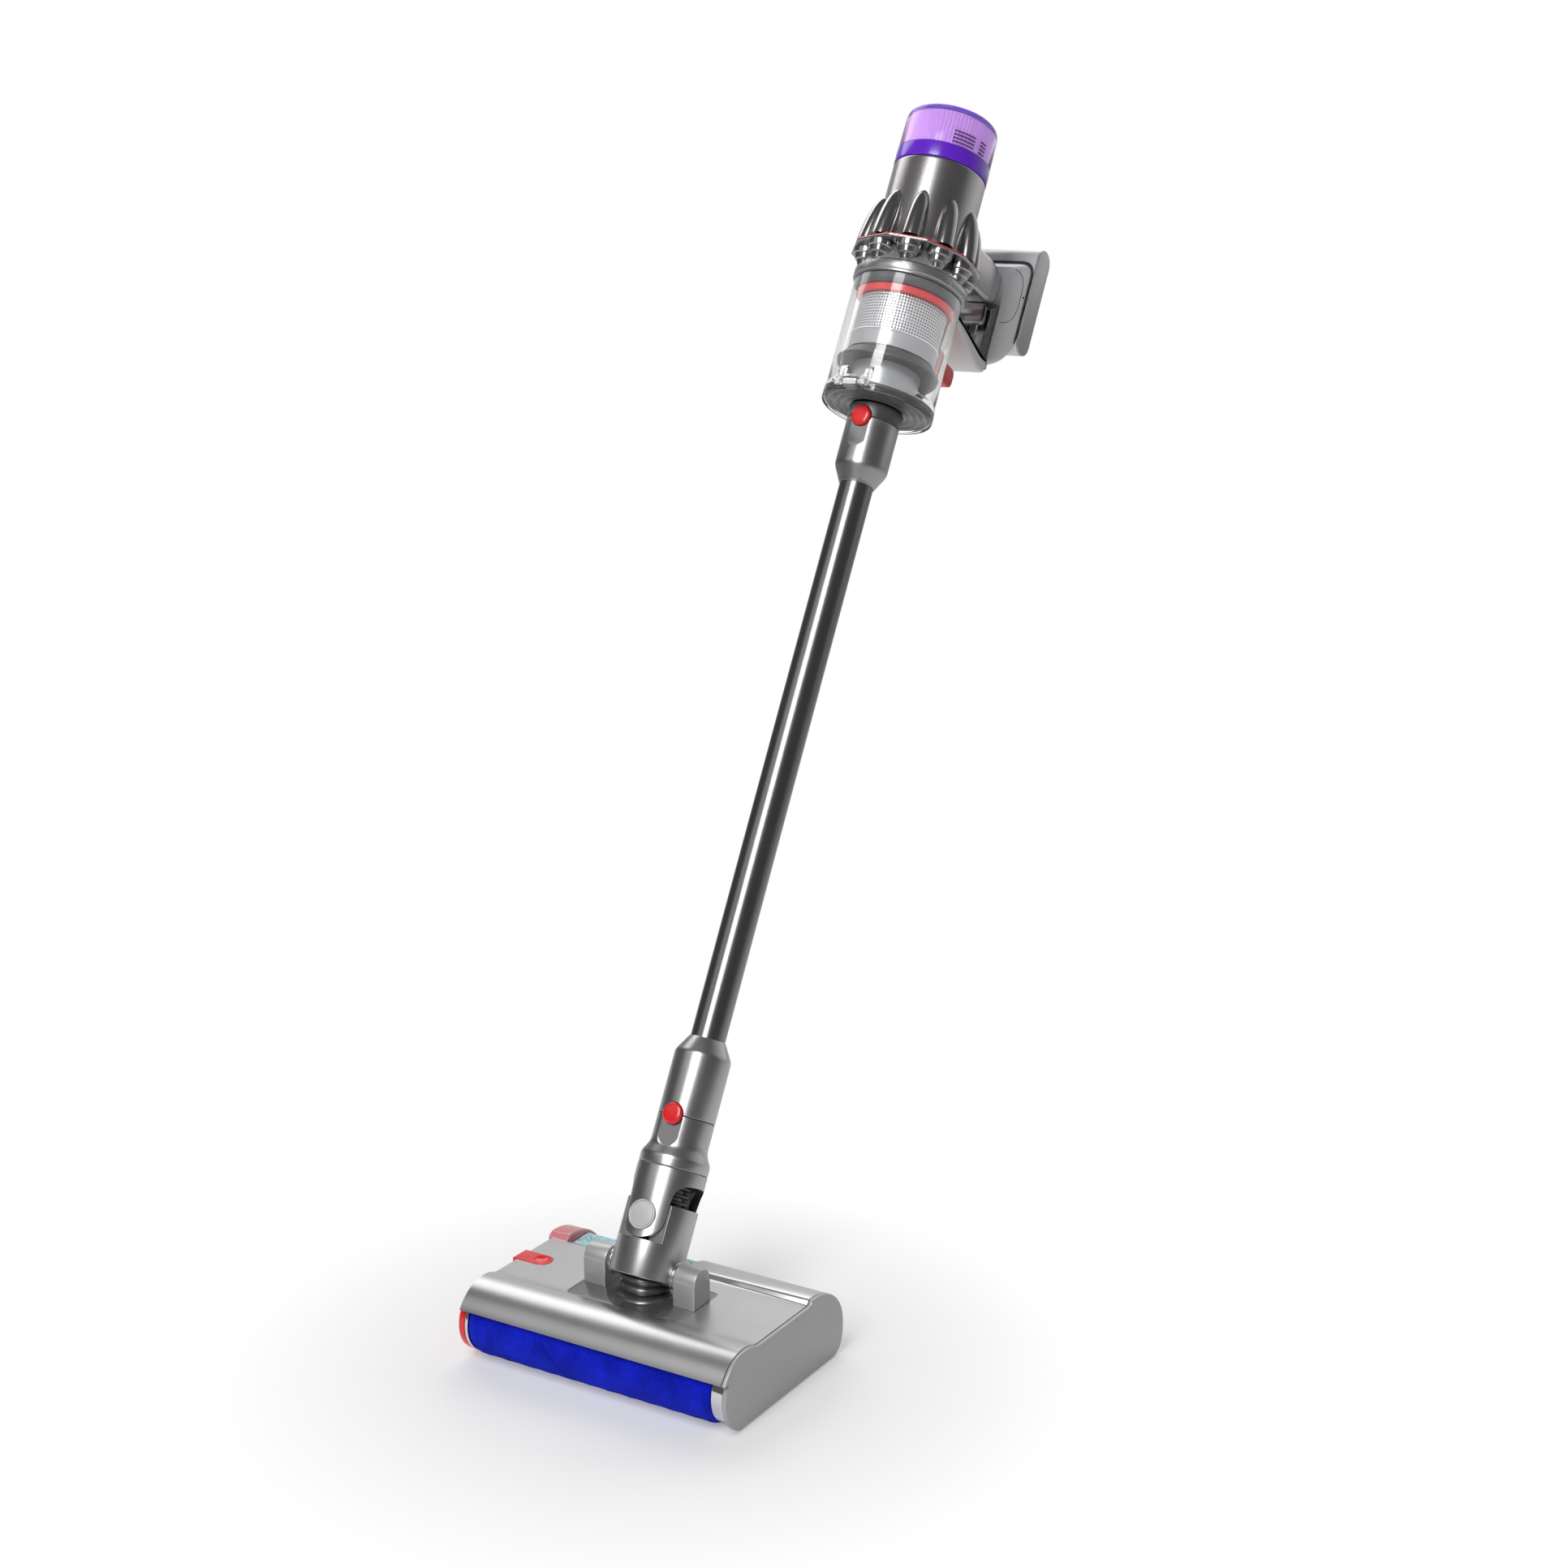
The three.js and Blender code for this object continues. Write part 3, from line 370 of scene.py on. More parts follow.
# --------------------------------------------------------------------------- materials
class Sketch:
    """Adds nodes to a node tree and wires them."""

    def __init__(self, tree: bpy.types.NodeTree) -> None:
        """Keep the tree that the nodes go to."""
        self.tree = tree

    def add(self, kind: str, inputs: Optional[dict] = None, **settings: object) -> bpy.types.Node:
        """Add one node.

        Args:
            kind: the node's type name.
            inputs: socket name or number to a value or to another node's output.
            settings: properties of the node.

        Returns:
            The new node.
        """
        node = self.tree.nodes.new(kind)
        for key, value in settings.items():
            setattr(node, key, value)
        for key, value in (inputs or {}).items():
            if isinstance(value, bpy.types.NodeSocket):
                self.tree.links.new(value, node.inputs[key])
            else:
                node.inputs[key].default_value = value
        return node

    def math(self, operation: str, first: object, second: object = 0.0) -> bpy.types.NodeSocket:
        """Add a math node and return its output."""
        node = self.add("ShaderNodeMath", {0: first, 1: second}, operation=operation)
        return node.outputs[0]

    def ramp(self, value: bpy.types.NodeSocket, low: float, high: float,
             out_low: float, out_high: float) -> bpy.types.NodeSocket:
        """Map a value from one range to another and return it."""
        inputs = {"Value": value, "From Min": low, "From Max": high, "To Min": out_low, "To Max": out_high}
        return self.add("ShaderNodeMapRange", inputs).outputs["Result"]

    def noise(self, where: bpy.types.NodeSocket, scale: object, **inputs: object) -> bpy.types.Node:
        """Add a noise texture at a place and scale, with any other inputs by name."""
        return self.add("ShaderNodeTexNoise", {"Vector": where, "Scale": scale, **inputs})

    def two_tone(self, shader: bpy.types.Node, mask: bpy.types.NodeSocket,
                 first: Sequence[float], second: Sequence[float]) -> None:
        """Take a shader's base colour from the first colour to the second as the mask rises."""
        mix = self.add("ShaderNodeMix", {"Factor": mask}, data_type="RGBA")
        mix.inputs[6].default_value = (*first, 1.0)
        mix.inputs[7].default_value = (*second, 1.0)
        self.tree.links.new(mix.outputs[2], shader.inputs["Base Color"])

    def bump(self, shader: bpy.types.Node, height: bpy.types.NodeSocket, distance: float,
             strength: float) -> None:
        """Tilt a shader's normal by a height, with its distance in metres."""
        inputs = {"Height": height, "Distance": distance, "Strength": strength}
        node = self.add("ShaderNodeBump", inputs)
        self.tree.links.new(node.outputs["Normal"], shader.inputs["Normal"])


def node_group(name: str, inputs: dict[str, tuple[str, object]],
               outputs: dict[str, str]) -> tuple[bpy.types.NodeTree, Sketch, bpy.types.Node, bpy.types.Node]:
    """Start a shader node group.

    Args:
        name: the group's name.
        inputs: input name to socket type and default.
        outputs: output name to socket type.

    Returns:
        The group, a sketch on it, its input node and its output node.
    """
    group = bpy.data.node_groups.new(name, "ShaderNodeTree")
    for label, (kind, default) in inputs.items():
        socket = group.interface.new_socket(label, in_out="INPUT", socket_type=kind)
        if default is not None:
            socket.default_value = default
    for label, kind in outputs.items():
        group.interface.new_socket(label, in_out="OUTPUT", socket_type=kind)
    sketch = Sketch(group)
    return group, sketch, sketch.add("NodeGroupInput"), sketch.add("NodeGroupOutput")


FLOAT, VECTOR, COLOUR = "NodeSocketFloat", "NodeSocketVector", "NodeSocketColor"


def grain_group() -> bpy.types.NodeTree:
    """Moulded skin: fine pits and broad, faint handling marks that vary the gloss."""
    group, sketch, given, result = node_group(
        "moulded_grain",
        {"Pitch": (FLOAT, 900.0), "Roughness": (FLOAT, 0.3), "Spread": (FLOAT, 0.08)},
        {"Roughness": FLOAT, "Height": FLOAT, "Tone": FLOAT},
    )
    where = sketch.add("ShaderNodeTexCoord").outputs["Object"]
    fine = sketch.noise(where, given.outputs["Pitch"], Detail=3.0)
    broad = sketch.noise(where, 22.0, Detail=5.0, Roughness=0.6)
    centred = sketch.math("SUBTRACT", broad.outputs["Fac"], 0.5)
    swing = sketch.math("MULTIPLY", centred, given.outputs["Spread"])
    rough = sketch.math("ADD", given.outputs["Roughness"], swing)
    tone = sketch.ramp(broad.outputs["Fac"], 0.3, 0.7, 0.97, 1.03)
    sketch.tree.links.new(rough, result.inputs["Roughness"])
    sketch.tree.links.new(fine.outputs["Fac"], result.inputs["Height"])
    sketch.tree.links.new(tone, result.inputs["Tone"])
    return group


def wand_group() -> bpy.types.NodeTree:
    """Wand coordinates in millimetres: across, back, along, and the way round the wand in turns."""
    group, sketch, _, result = node_group(
        "wand_coordinates", {}, {"Across": FLOAT, "Back": FLOAT, "Along": FLOAT, "Turn": FLOAT})
    where = sketch.add("ShaderNodeTexCoord").outputs["Object"]
    shifted = sketch.add("ShaderNodeVectorMath", {0: where, 1: tuple(PIVOT)}, operation="SUBTRACT")
    parts: dict[str, bpy.types.NodeSocket] = {}
    for label, direction in (("Across", (1.0, 0.0, 0.0)), ("Back", tuple(BACK)), ("Along", tuple(ALONG))):
        scaled = tuple(component / MM for component in direction)
        inputs = {0: shifted.outputs[0], 1: scaled}
        dot = sketch.add("ShaderNodeVectorMath", inputs, operation="DOT_PRODUCT")
        parts[label] = dot.outputs["Value"]
        sketch.tree.links.new(parts[label], result.inputs[label])
    round_way = sketch.math("ARCTAN2", parts["Across"], parts["Back"])
    sketch.tree.links.new(sketch.math("DIVIDE", round_way, FULL_TURN), result.inputs["Turn"])
    return group


def lattice_group() -> bpy.types.NodeTree:
    """Two crossed sets of ridges, as in a knitted or woven metal sleeve."""
    group, sketch, given, result = node_group(
        "crossed_ridges", {"First": (FLOAT, 0.0), "Second": (FLOAT, 0.0)},
        {"Height": FLOAT, "Hole": FLOAT})
    total = sketch.math("ADD", given.outputs["First"], given.outputs["Second"])
    apart = sketch.math("SUBTRACT", given.outputs["First"], given.outputs["Second"])
    waves = [sketch.math("SINE", sketch.math("MULTIPLY", way, FULL_TURN)) for way in (total, apart)]
    product = sketch.math("MULTIPLY", waves[0], waves[1])
    height = sketch.ramp(product, -1.0, 1.0, 0.0, 1.0)
    hole = sketch.ramp(product, 0.15, 0.6, 0.0, 1.0)
    sketch.tree.links.new(height, result.inputs["Height"])
    sketch.tree.links.new(hole, result.inputs["Hole"])
    return group


class Groups:
    """The shared node groups, each built once."""

    def __init__(self) -> None:
        """Build every group."""
        self.grain = grain_group()
        self.wand = wand_group()
        self.lattice = lattice_group()


GROUPS = Groups()


def new_material(name: str) -> tuple[bpy.types.Material, Sketch, bpy.types.Node]:
    """Start a material and return it with a sketch and its Principled shader."""
    material = bpy.data.materials.new(name)
    material.use_nodes = True
    shader = material.node_tree.nodes["Principled BSDF"]
    return material, Sketch(material.node_tree), shader


@dataclass(frozen=True)
class Finish:
    """A moulded, painted, plated or clear finish.

    Attributes:
        name: the material's name.
        colour: base colour, linear.
        roughness: mean roughness.
        metallic: how metallic it is.
        spread: how far handling marks move the roughness.
        pitch: scale of the fine grain, per metre.
        depth: depth of the fine grain, in metres.
        coat: weight of a clear top coat.
        clear: transmission weight.
        ior: index of refraction.
    """

    name: str
    colour: tuple[float, float, float]
    roughness: float
    metallic: float = 0.0
    spread: float = 0.08
    pitch: float = 900.0
    depth: float = 0.00002
    coat: float = 0.0
    clear: float = 0.0
    ior: float = 1.5

    def build(self) -> bpy.types.Material:
        """Make the material."""
        material, sketch, shader = new_material(self.name)
        grain = sketch.add("ShaderNodeGroup", node_tree=GROUPS.grain)
        grain.inputs["Pitch"].default_value = self.pitch
        grain.inputs["Roughness"].default_value = self.roughness
        grain.inputs["Spread"].default_value = self.spread
        tint = sketch.add("ShaderNodeMix", {"Factor": 1.0}, data_type="RGBA", blend_type="MULTIPLY")
        tone = grain.outputs["Tone"]
        grey = sketch.add("ShaderNodeCombineColor", {0: tone, 1: tone, 2: tone})
        tint.inputs[6].default_value = (*self.colour, 1.0)
        links = sketch.tree.links
        links.new(grey.outputs[0], tint.inputs[7])
        links.new(tint.outputs[2], shader.inputs["Base Color"])
        links.new(grain.outputs["Roughness"], shader.inputs["Roughness"])
        if self.depth > 0.0:
            sketch.bump(shader, grain.outputs["Height"], self.depth, 0.6)
        shader.inputs["Metallic"].default_value = self.metallic
        shader.inputs["Coat Weight"].default_value = self.coat
        shader.inputs["Coat Roughness"].default_value = 0.12
        shader.inputs["Transmission Weight"].default_value = self.clear
        shader.inputs["IOR"].default_value = self.ior
        return material


@dataclass(frozen=True)
class PileFinish:
    """Short microfibre pile: mottled blue with soft sheen and a tufted height."""

    name: str = "blue_pile"
    dark: tuple[float, float, float] = (0.0, 0.004, 0.30)
    light: tuple[float, float, float] = (0.006, 0.022, 0.82)

    def build(self) -> bpy.types.Material:
        """Make the material."""
        material, sketch, shader = new_material(self.name)
        where = sketch.add("ShaderNodeTexCoord").outputs["Object"]
        tuft = sketch.noise(where, 900.0, Detail=4.0, Roughness=0.7)
        lay = sketch.noise(where, 45.0, Detail=3.0)
        both = sketch.math("ADD", sketch.math("MULTIPLY", tuft.outputs["Fac"], 0.6),
                           sketch.math("MULTIPLY", lay.outputs["Fac"], 0.4))
        mask = sketch.ramp(both, 0.38, 0.62, 0.0, 1.0)
        sketch.two_tone(shader, mask, self.dark, self.light)
        sketch.bump(shader, tuft.outputs["Fac"], 0.0012, 0.8)
        shader.inputs["Roughness"].default_value = 0.9
        shader.inputs["Specular IOR Level"].default_value = 0.15
        shader.inputs["Sheen Weight"].default_value = 0.35
        shader.inputs["Sheen Roughness"].default_value = 0.4
        shader.inputs["Sheen Tint"].default_value = (0.1, 0.15, 1.0, 1.0)
        return material


@dataclass(frozen=True)
class KnitFinish:
    """Fine metal mesh: crossed silver ridges with small holes painted dark as painted shade from inside the
    sleeve.

    Attributes:
        name: the material's name.
        around: repeats in one full turn.
        pitch: length of one repeat along the wand, in millimetres.
        ridge: colour of the ridges, linear.
        hole: painted shade colour of the holes, linear.
    """

    name: str = "shroud_mesh"
    around: float = 46.0
    pitch: float = 5.1
    ridge: tuple[float, float, float] = (0.64, 0.64, 0.65)
    hole: tuple[float, float, float] = (0.08, 0.08, 0.085)

    def build(self) -> bpy.types.Material:
        """Make the material."""
        material, sketch, shader = new_material(self.name)
        wand = sketch.add("ShaderNodeGroup", node_tree=GROUPS.wand)
        ridges = sketch.add("ShaderNodeGroup", node_tree=GROUPS.lattice)
        links = sketch.tree.links
        links.new(sketch.math("MULTIPLY", wand.outputs["Turn"], self.around), ridges.inputs["First"])
        links.new(sketch.math("DIVIDE", wand.outputs["Along"], self.pitch), ridges.inputs["Second"])
        # The holes get a near-black colour: painted shade standing for the dark inside of the sleeve.
        sketch.two_tone(shader, ridges.outputs["Hole"], self.ridge, self.hole)
        sketch.bump(shader, ridges.outputs["Height"], 0.0004, 0.9)
        shader.inputs["Metallic"].default_value = 0.8
        shader.inputs["Roughness"].default_value = 0.38
        return material


@dataclass(frozen=True)
class WaterFinish:
    """Pale aqua liquid with bright, rippled veins of light."""

    name: str = "aqua_water"
    still: tuple[float, float, float] = (0.17, 0.52, 0.60)
    vein: tuple[float, float, float] = (0.78, 0.93, 0.95)

    def build(self) -> bpy.types.Material:
        """Make the material."""
        material, sketch, shader = new_material(self.name)
        where = sketch.add("ShaderNodeTexCoord").outputs["Object"]
        warp = sketch.noise(where, 60.0, Detail=2.0, Distortion=1.5)
        veins = sketch.add("ShaderNodeTexVoronoi", {"Vector": warp.outputs["Color"], "Scale": 9.0},
                           feature="DISTANCE_TO_EDGE")
        mask = sketch.ramp(veins.outputs["Distance"], 0.0, 0.22, 1.0, 0.0)
        sketch.two_tone(shader, mask, self.still, self.vein)
        sketch.bump(shader, veins.outputs["Distance"], 0.002, 0.4)
        shader.inputs["Roughness"].default_value = 0.12
        shader.inputs["IOR"].default_value = 1.33
        return material


SATIN = Finish("satin_grey_paint", (0.46, 0.46, 0.47), 0.33, metallic=0.85, coat=0.25)
END_PLATE = Finish("end_plate_grey", (0.47, 0.47, 0.475), 0.42, metallic=0.4)
SHROUD = Finish("shroud_metal", (0.58, 0.58, 0.585), 0.30, metallic=0.9, spread=0.05)
PLATFORM = Finish("platform_grey", (0.24, 0.24, 0.245), 0.22, metallic=0.7, coat=0.5)
NECK_GREY = Finish("neck_grey_metal", (0.52, 0.52, 0.525), 0.31, metallic=1.0)
TUBE = Finish("tube_dark_satin", (0.30, 0.30, 0.305), 0.25, metallic=1.0, spread=0.04, depth=0.0)
CHROME = Finish("bright_chrome", (0.78, 0.78, 0.79), 0.09, metallic=1.0, spread=0.03, depth=0.0)
NICKEL = Finish("dark_nickel", (0.50, 0.485, 0.49), 0.19, metallic=1.0, spread=0.04, depth=0.0)
MOTOR_SKIN = Finish("motor_nickel", (0.52, 0.505, 0.50), 0.27, metallic=1.0, spread=0.05)
# Battery grey: partly the pack's own light grey, partly painted light; lifted and made non-metallic so the
# flanks read bright without light from the right.
BATTERY_GREY_PAINTED_LIGHT = Finish("battery_grey_painted_light", (0.80, 0.805, 0.81), 0.30, coat=0.4)
DARK = Finish("dark_grey_mould", (0.085, 0.085, 0.09), 0.38, coat=0.1)
BLACK = Finish("black_rubber", (0.018, 0.018, 0.019), 0.5)
BELLOWS = Finish("bellows_rubber", (0.17, 0.17, 0.175), 0.30, metallic=0.75, coat=0.3, depth=0.0)
EAR_GREY = Finish("ear_satin_grey", (0.52, 0.52, 0.525), 0.40, metallic=0.55)
HOSE_BLACK = Finish("hose_satin_black", (0.22, 0.22, 0.225), 0.25, metallic=0.8)
RED = Finish("gloss_red", (0.80, 0.016, 0.020), 0.28, coat=0.5, spread=0.05)
RED_TINT = Finish("tinted_red_clear", (0.95, 0.33, 0.37), 0.15, clear=0.35, ior=1.3, coat=0.4, depth=0.0)
CLEAR = Finish("clear_bin_plastic", (0.97, 0.975, 0.98), 0.03, clear=1.0, ior=1.42, coat=0.5,
               spread=0.02, depth=0.0)
# Pin cap faces: the neck's metal made lighter and less metallic, a painted highlight on their flat faces.
CAP_FACE_PAINTED_HIGHLIGHT = Finish("cap_metal_painted_highlight", (0.68, 0.68, 0.685), 0.36, metallic=0.35)
CLEAR_TANK = Finish("clear_tank_plastic", (0.90, 0.98, 0.99), 0.04, clear=1.0, ior=1.2,
                    spread=0.02, depth=0.0)
LIGHT = Finish("light_grey_mould", (0.42, 0.42, 0.43), 0.34, metallic=0.5, coat=0.1)
INLET = Finish("inlet_grey", (0.15, 0.15, 0.154), 0.33, metallic=0.7)
SMOKE = Finish("smoke_grey", (0.035, 0.035, 0.037), 0.25, coat=0.2)
SEAM = Finish("seam_shadow", (0.04, 0.04, 0.042), 0.45)
PURPLE = Finish("purple_clear", (0.16, 0.02, 0.72), 0.22, coat=0.5, clear=0.15, spread=0.06)
PURPLE_DARK = Finish("purple_shadow", (0.05, 0.012, 0.12), 0.4)
LILAC_CLEAR = Finish("lilac_clear", (0.86, 0.70, 0.98), 0.06, clear=0.92, ior=1.3, spread=0.02, depth=0.0)
PLEAT = Finish("pleated_paper_lilac", (0.80, 0.62, 0.88), 0.6, spread=0.12)

FinishKind = Union[Finish, PileFinish, KnitFinish, WaterFinish]


class Shop:
    """Makes pieces: mesh, finish, body and the CAD node that each stands for."""

    def __init__(self) -> None:
        """Start with no materials made."""
        self.made: dict[str, bpy.types.Material] = {}

    def material(self, finish: FinishKind) -> bpy.types.Material:
        """Return the finish's material, made once."""
        if finish.name not in self.made:
            self.made[finish.name] = finish.build()
        return self.made[finish.name]

    def dress(self, node: str, finish: FinishKind) -> None:
        """Give a CAD node that stays visible its finish."""
        slots = frame["nodes"][node].data.materials
        slots.clear()
        slots.append(self.material(finish))

    def solid(self, name: str, surface: Surface, space: Space) -> bpy.types.Object:
        """Turn a surface into an object with merged, outward facing skins.

        Args:
            name: the object's name.
            surface: the surface in millimetres.
            space: the axes it is drawn in.

        Returns:
            The new object, at the origin.
        """
        mesh = bpy.data.meshes.new(name)
        corners = np.concatenate([face.ravel() for face in surface.faces]).astype(np.int32)
        counts = np.concatenate([np.full(len(face), face.shape[1]) for face in surface.faces])
        starts = np.concatenate([[0], np.cumsum(counts)[:-1]]).astype(np.int32)
        world = to_world(surface.points, space).astype(np.float32)
        mesh.vertices.add(len(world))
        mesh.vertices.foreach_set("co", world.ravel())
        mesh.loops.add(len(corners))
        mesh.loops.foreach_set("vertex_index", corners)
        mesh.polygons.add(len(starts))
        mesh.polygons.foreach_set("loop_start", starts)
        mesh.update(calc_edges=True)
        work = bmesh.new()
        work.from_mesh(mesh)
        bmesh.ops.remove_doubles(work, verts=work.verts, dist=2e-6)
        bmesh.ops.recalc_face_normals(work, faces=work.faces)
        work.to_mesh(mesh)
        work.free()
        made = bpy.data.objects.new(name, mesh)
        bpy.context.scene.collection.objects.link(made)
        return made

    def carve(self, target: bpy.types.Object, cutters: Sequence[Surface], space: Space,
              operation: str = "DIFFERENCE") -> None:
        """Cut solids out of an object, or add them to it, and keep the result as its mesh."""
        for cutter in cutters:
            tool = self.solid("cutter", cutter, space)
            step = target.modifiers.new("carve", "BOOLEAN")
            step.operation, step.solver, step.object = operation, "EXACT", tool
            graph = bpy.context.evaluated_depsgraph_get()
            result = bpy.data.meshes.new_from_object(target.evaluated_get(graph))
            target.modifiers.clear()
            old = target.data
            target.data = result
            bpy.data.meshes.remove(old)
            bpy.data.objects.remove(tool)

    def soften(self, target: bpy.types.Object, width: float, segments: int = 2) -> None:
        """Round the sharp edges of a carved piece with a live bevel, width in millimetres."""
        edge = target.modifiers.new("edge", "BEVEL")
        edge.width, edge.segments = width * MM, segments
        edge.limit_method, edge.angle_limit = "ANGLE", math.radians(38)
        edge.use_clamp_overlap = True

    def finish(self, target: bpy.types.Object, finish: FinishKind, body: Optional[str],
               replaces: Sequence[str] = (), smooth: float = 34.0) -> bpy.types.Object:
        """Shade, dress and hang a piece on its body.

        Args:
            target: the piece.
            finish: what it is made of.
            body: the CAD body it moves with, or None to hang it on no body.
            replaces: CAD nodes it stands for.
            smooth: angle in degrees above which an edge stays sharp.

        Returns:
            The same piece.
        """
        mesh = target.data
        mesh.shade_smooth()
        mesh.set_sharp_from_angle(angle=math.radians(smooth))
        mesh.materials.clear()
        mesh.materials.append(self.material(finish))
        if body is not None:
            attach(target, body)
        if replaces:
            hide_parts(*replaces)
        LOG.info("%s: body %s, %d faces", target.name, body, len(mesh.polygons))
        return target

    def piece(self, name: str, surface: Surface, space: Space, finish: FinishKind, body: str,
              replaces: Sequence[str] = (), smooth: float = 34.0) -> bpy.types.Object:
        """Make, dress and hang a piece that needs no cutting."""
        return self.finish(self.solid(name, surface, space), finish, body, replaces, smooth)


# --------------------------------------------------------------------------- floor head
@dataclass
class FloorHead:
    """Roller head: shell, end plates, roller, tank, release tab, ears and wheels.

    Sizes are in millimetres.
    """

    shop: Shop
    half: float = 128.0
    plate: float = 4.0
    deck: float = 60.0
    sole: float = 1.2
    roller: tuple[float, float] = (-52.5, 30.0)
    roller_radius: float = 29.4
    shroud_radius: float = 36.5
    chamber_radius: float = 33.0
    lip: float = 149.0
    valley: float = 41.3
    tank_end: float = 8.0
    tank_cap: float = -108.0
    tank_floor: float = 5.0
    water_level: float = 57.5
    tab_centre: tuple[float, float, float] = (-104.9, 1.5, 0.0)
    ear_in: float = 32.5
    ear_out: float = 53.5
    ear_radius: float = 11.5
    pivot: float = field(default_factory=lambda: PIVOT[2] / MM)

    def shroud_arc(self, steps: int = 40) -> Array:
        """The outside of the front lobe, from its lip over the top and down to the deck."""
        centre = (self.roller[0], self.roller[1] - 2.5)
        over = arc(centre, self.shroud_radius, self.lip, 72, steps)
        down = bezier([over[-1], (-38.5, 61.2), (-37, self.deck), (-30, self.deck)], 10)
        return np.concatenate([over, down[1:]])

    def lobe_arc(self) -> Array:
        """The outside of the rear lobe, from the deck's back edge down to the sole."""
        foot = [(self.valley, self.deck), (44.4, self.deck + 0.2)]
        rise = bezier([*foot, (43.2, self.deck + 3.8), (48, self.deck + 4)], 12)
        over = bezier([(48, self.deck + 4), (75, self.deck + 4.6), (93.5, 47), (93.5, 26)], 26)
        under = bezier([(93.5, 26), (93.5, 10), (88, self.sole), (77, self.sole)], 16)
        return np.concatenate([rise, over[1:], under[1:]])

    def side_outline(self, front: float) -> Array:
        """The end view of the whole head, with the front arc at the given radius."""
        low = -math.degrees(math.acos((self.roller[1] - self.sole) / front)) - 90.0
        nose = arc(self.roller, front, low, self.lip - 360.0, 40)
        return np.concatenate([nose, self.shroud_arc(), self.lobe_arc()])

    def build(self) -> None:
        """Make every piece of the head."""
        self.shell()
        self.end_plates()
        self.ears()
        self.roller_pieces()
        self.tank()
        self.tab()
        self.wheels()
        self.bellows()
        for node in ("head_base_plate", "glide_pad", "roller_motor", "roller_core"):
            self.shop.dress(node, BLACK)

    def tab_slot(self) -> Surface:
        """Round-ended slot that the release tab slides in."""
        slot = prism(stadium(34, 9.3), self.deck - 5, self.deck + 6, Axis.ALONG)
        return slot.moved((-129.5, 1.5, 0))

    def shell(self) -> None:
        """The shroud and deck in one sweep, the rear lobe, and the darker platform under the neck."""
        reach = self.half - self.plate - 0.3
        outside = self.shroud_arc()
        inside = arc(self.roller, self.chamber_radius, -50, self.lip, 44)
        back = np.array([(self.valley, self.deck), (self.valley, 4.7)])
        outline = np.concatenate([outside, back, inside])
        shell = self.shop.solid("head_shell", prism(outline, -reach, reach, Axis.ACROSS), Space.HEAD)
        recess = prism(rounded([(-54.3, -37), (54.3, -37), (54.3, 24.3), (-54.3, 24.3)], 7),
                       self.deck - 0.8, self.deck + 6, Axis.ALONG)
        throat = prism(arc((0, 0), 19, 0, 354, 48), self.deck - 8, self.deck + 6, Axis.ALONG)
        self.shop.carve(shell, [self.tab_slot(), recess, throat], Space.HEAD)
        self.shop.finish(shell, SHROUD, "floor_head", ["head_housing"])
        lobe = np.concatenate([self.lobe_arc(), [(self.valley, self.sole)]])
        self.shop.piece("rear_lobe", prism(lobe, self.tank_end + 0.4, reach, Axis.ACROSS, 0.6, 3),
                        Space.HEAD, SHROUD, "floor_head")
        plan = rounded([(-54, -36.7), (54, -36.7), (54, 24), (-54, 24)], 3)
        plate = prism(plan, self.deck - 0.8, self.deck - 0.15, Axis.ALONG, 0.3, 3)
        platform = self.shop.solid("deck_platform", plate, Space.HEAD)
        self.shop.carve(platform, [throat], Space.HEAD)
        self.shop.finish(platform, PLATFORM, "floor_head")

    def end_plates(self) -> None:
        """The flat plates that close both ends, with rounded rims and a fine seam."""
        outline = self.side_outline(30.5)
        inner = self.half - self.plate
        right = prism(outline, inner, self.half, Axis.ACROSS, 1.1, 5)
        self.shop.piece("right_end_plate", right, Space.HEAD, END_PLATE, "floor_head", ["right_end_cap"])
        plate = prism(outline, -self.half, -inner, Axis.ACROSS, 1.1, 5)
        left = self.shop.solid("left_end_plate", plate, Space.HEAD)
        hole = turned([(0, -140), (31.0, -140), (31.0, -100), (0, -100)], Axis.ACROSS, self.roller)
        behind = block((-140, self.valley - 0.4, -9), (-100, 120, 90))
        self.shop.carve(left, [hole, behind, self.tab_slot()], Space.HEAD)
        self.shop.finish(left, END_PLATE, "floor_head", ["left_end_cap"])

    def ears(self) -> None:
        """Two upright ears with round tops that carry the tilt axis."""
        low = self.deck - 0.7
        top = arc((0, self.pivot), self.ear_radius, 0, 180, 30)
        outline = np.concatenate([[(self.ear_radius, low)], top, [(-self.ear_radius, low)]])[::-1]
        for side, name in ((-1, "left_ear"), (1, "right_ear")):
            ends = sorted((side * self.ear_in, side * self.ear_out))
            self.shop.piece(name + "_cover", prism(outline, ends[0], ends[1], Axis.ACROSS, 1.2, 5),
                            Space.HEAD, EAR_GREY, "floor_head", [name])

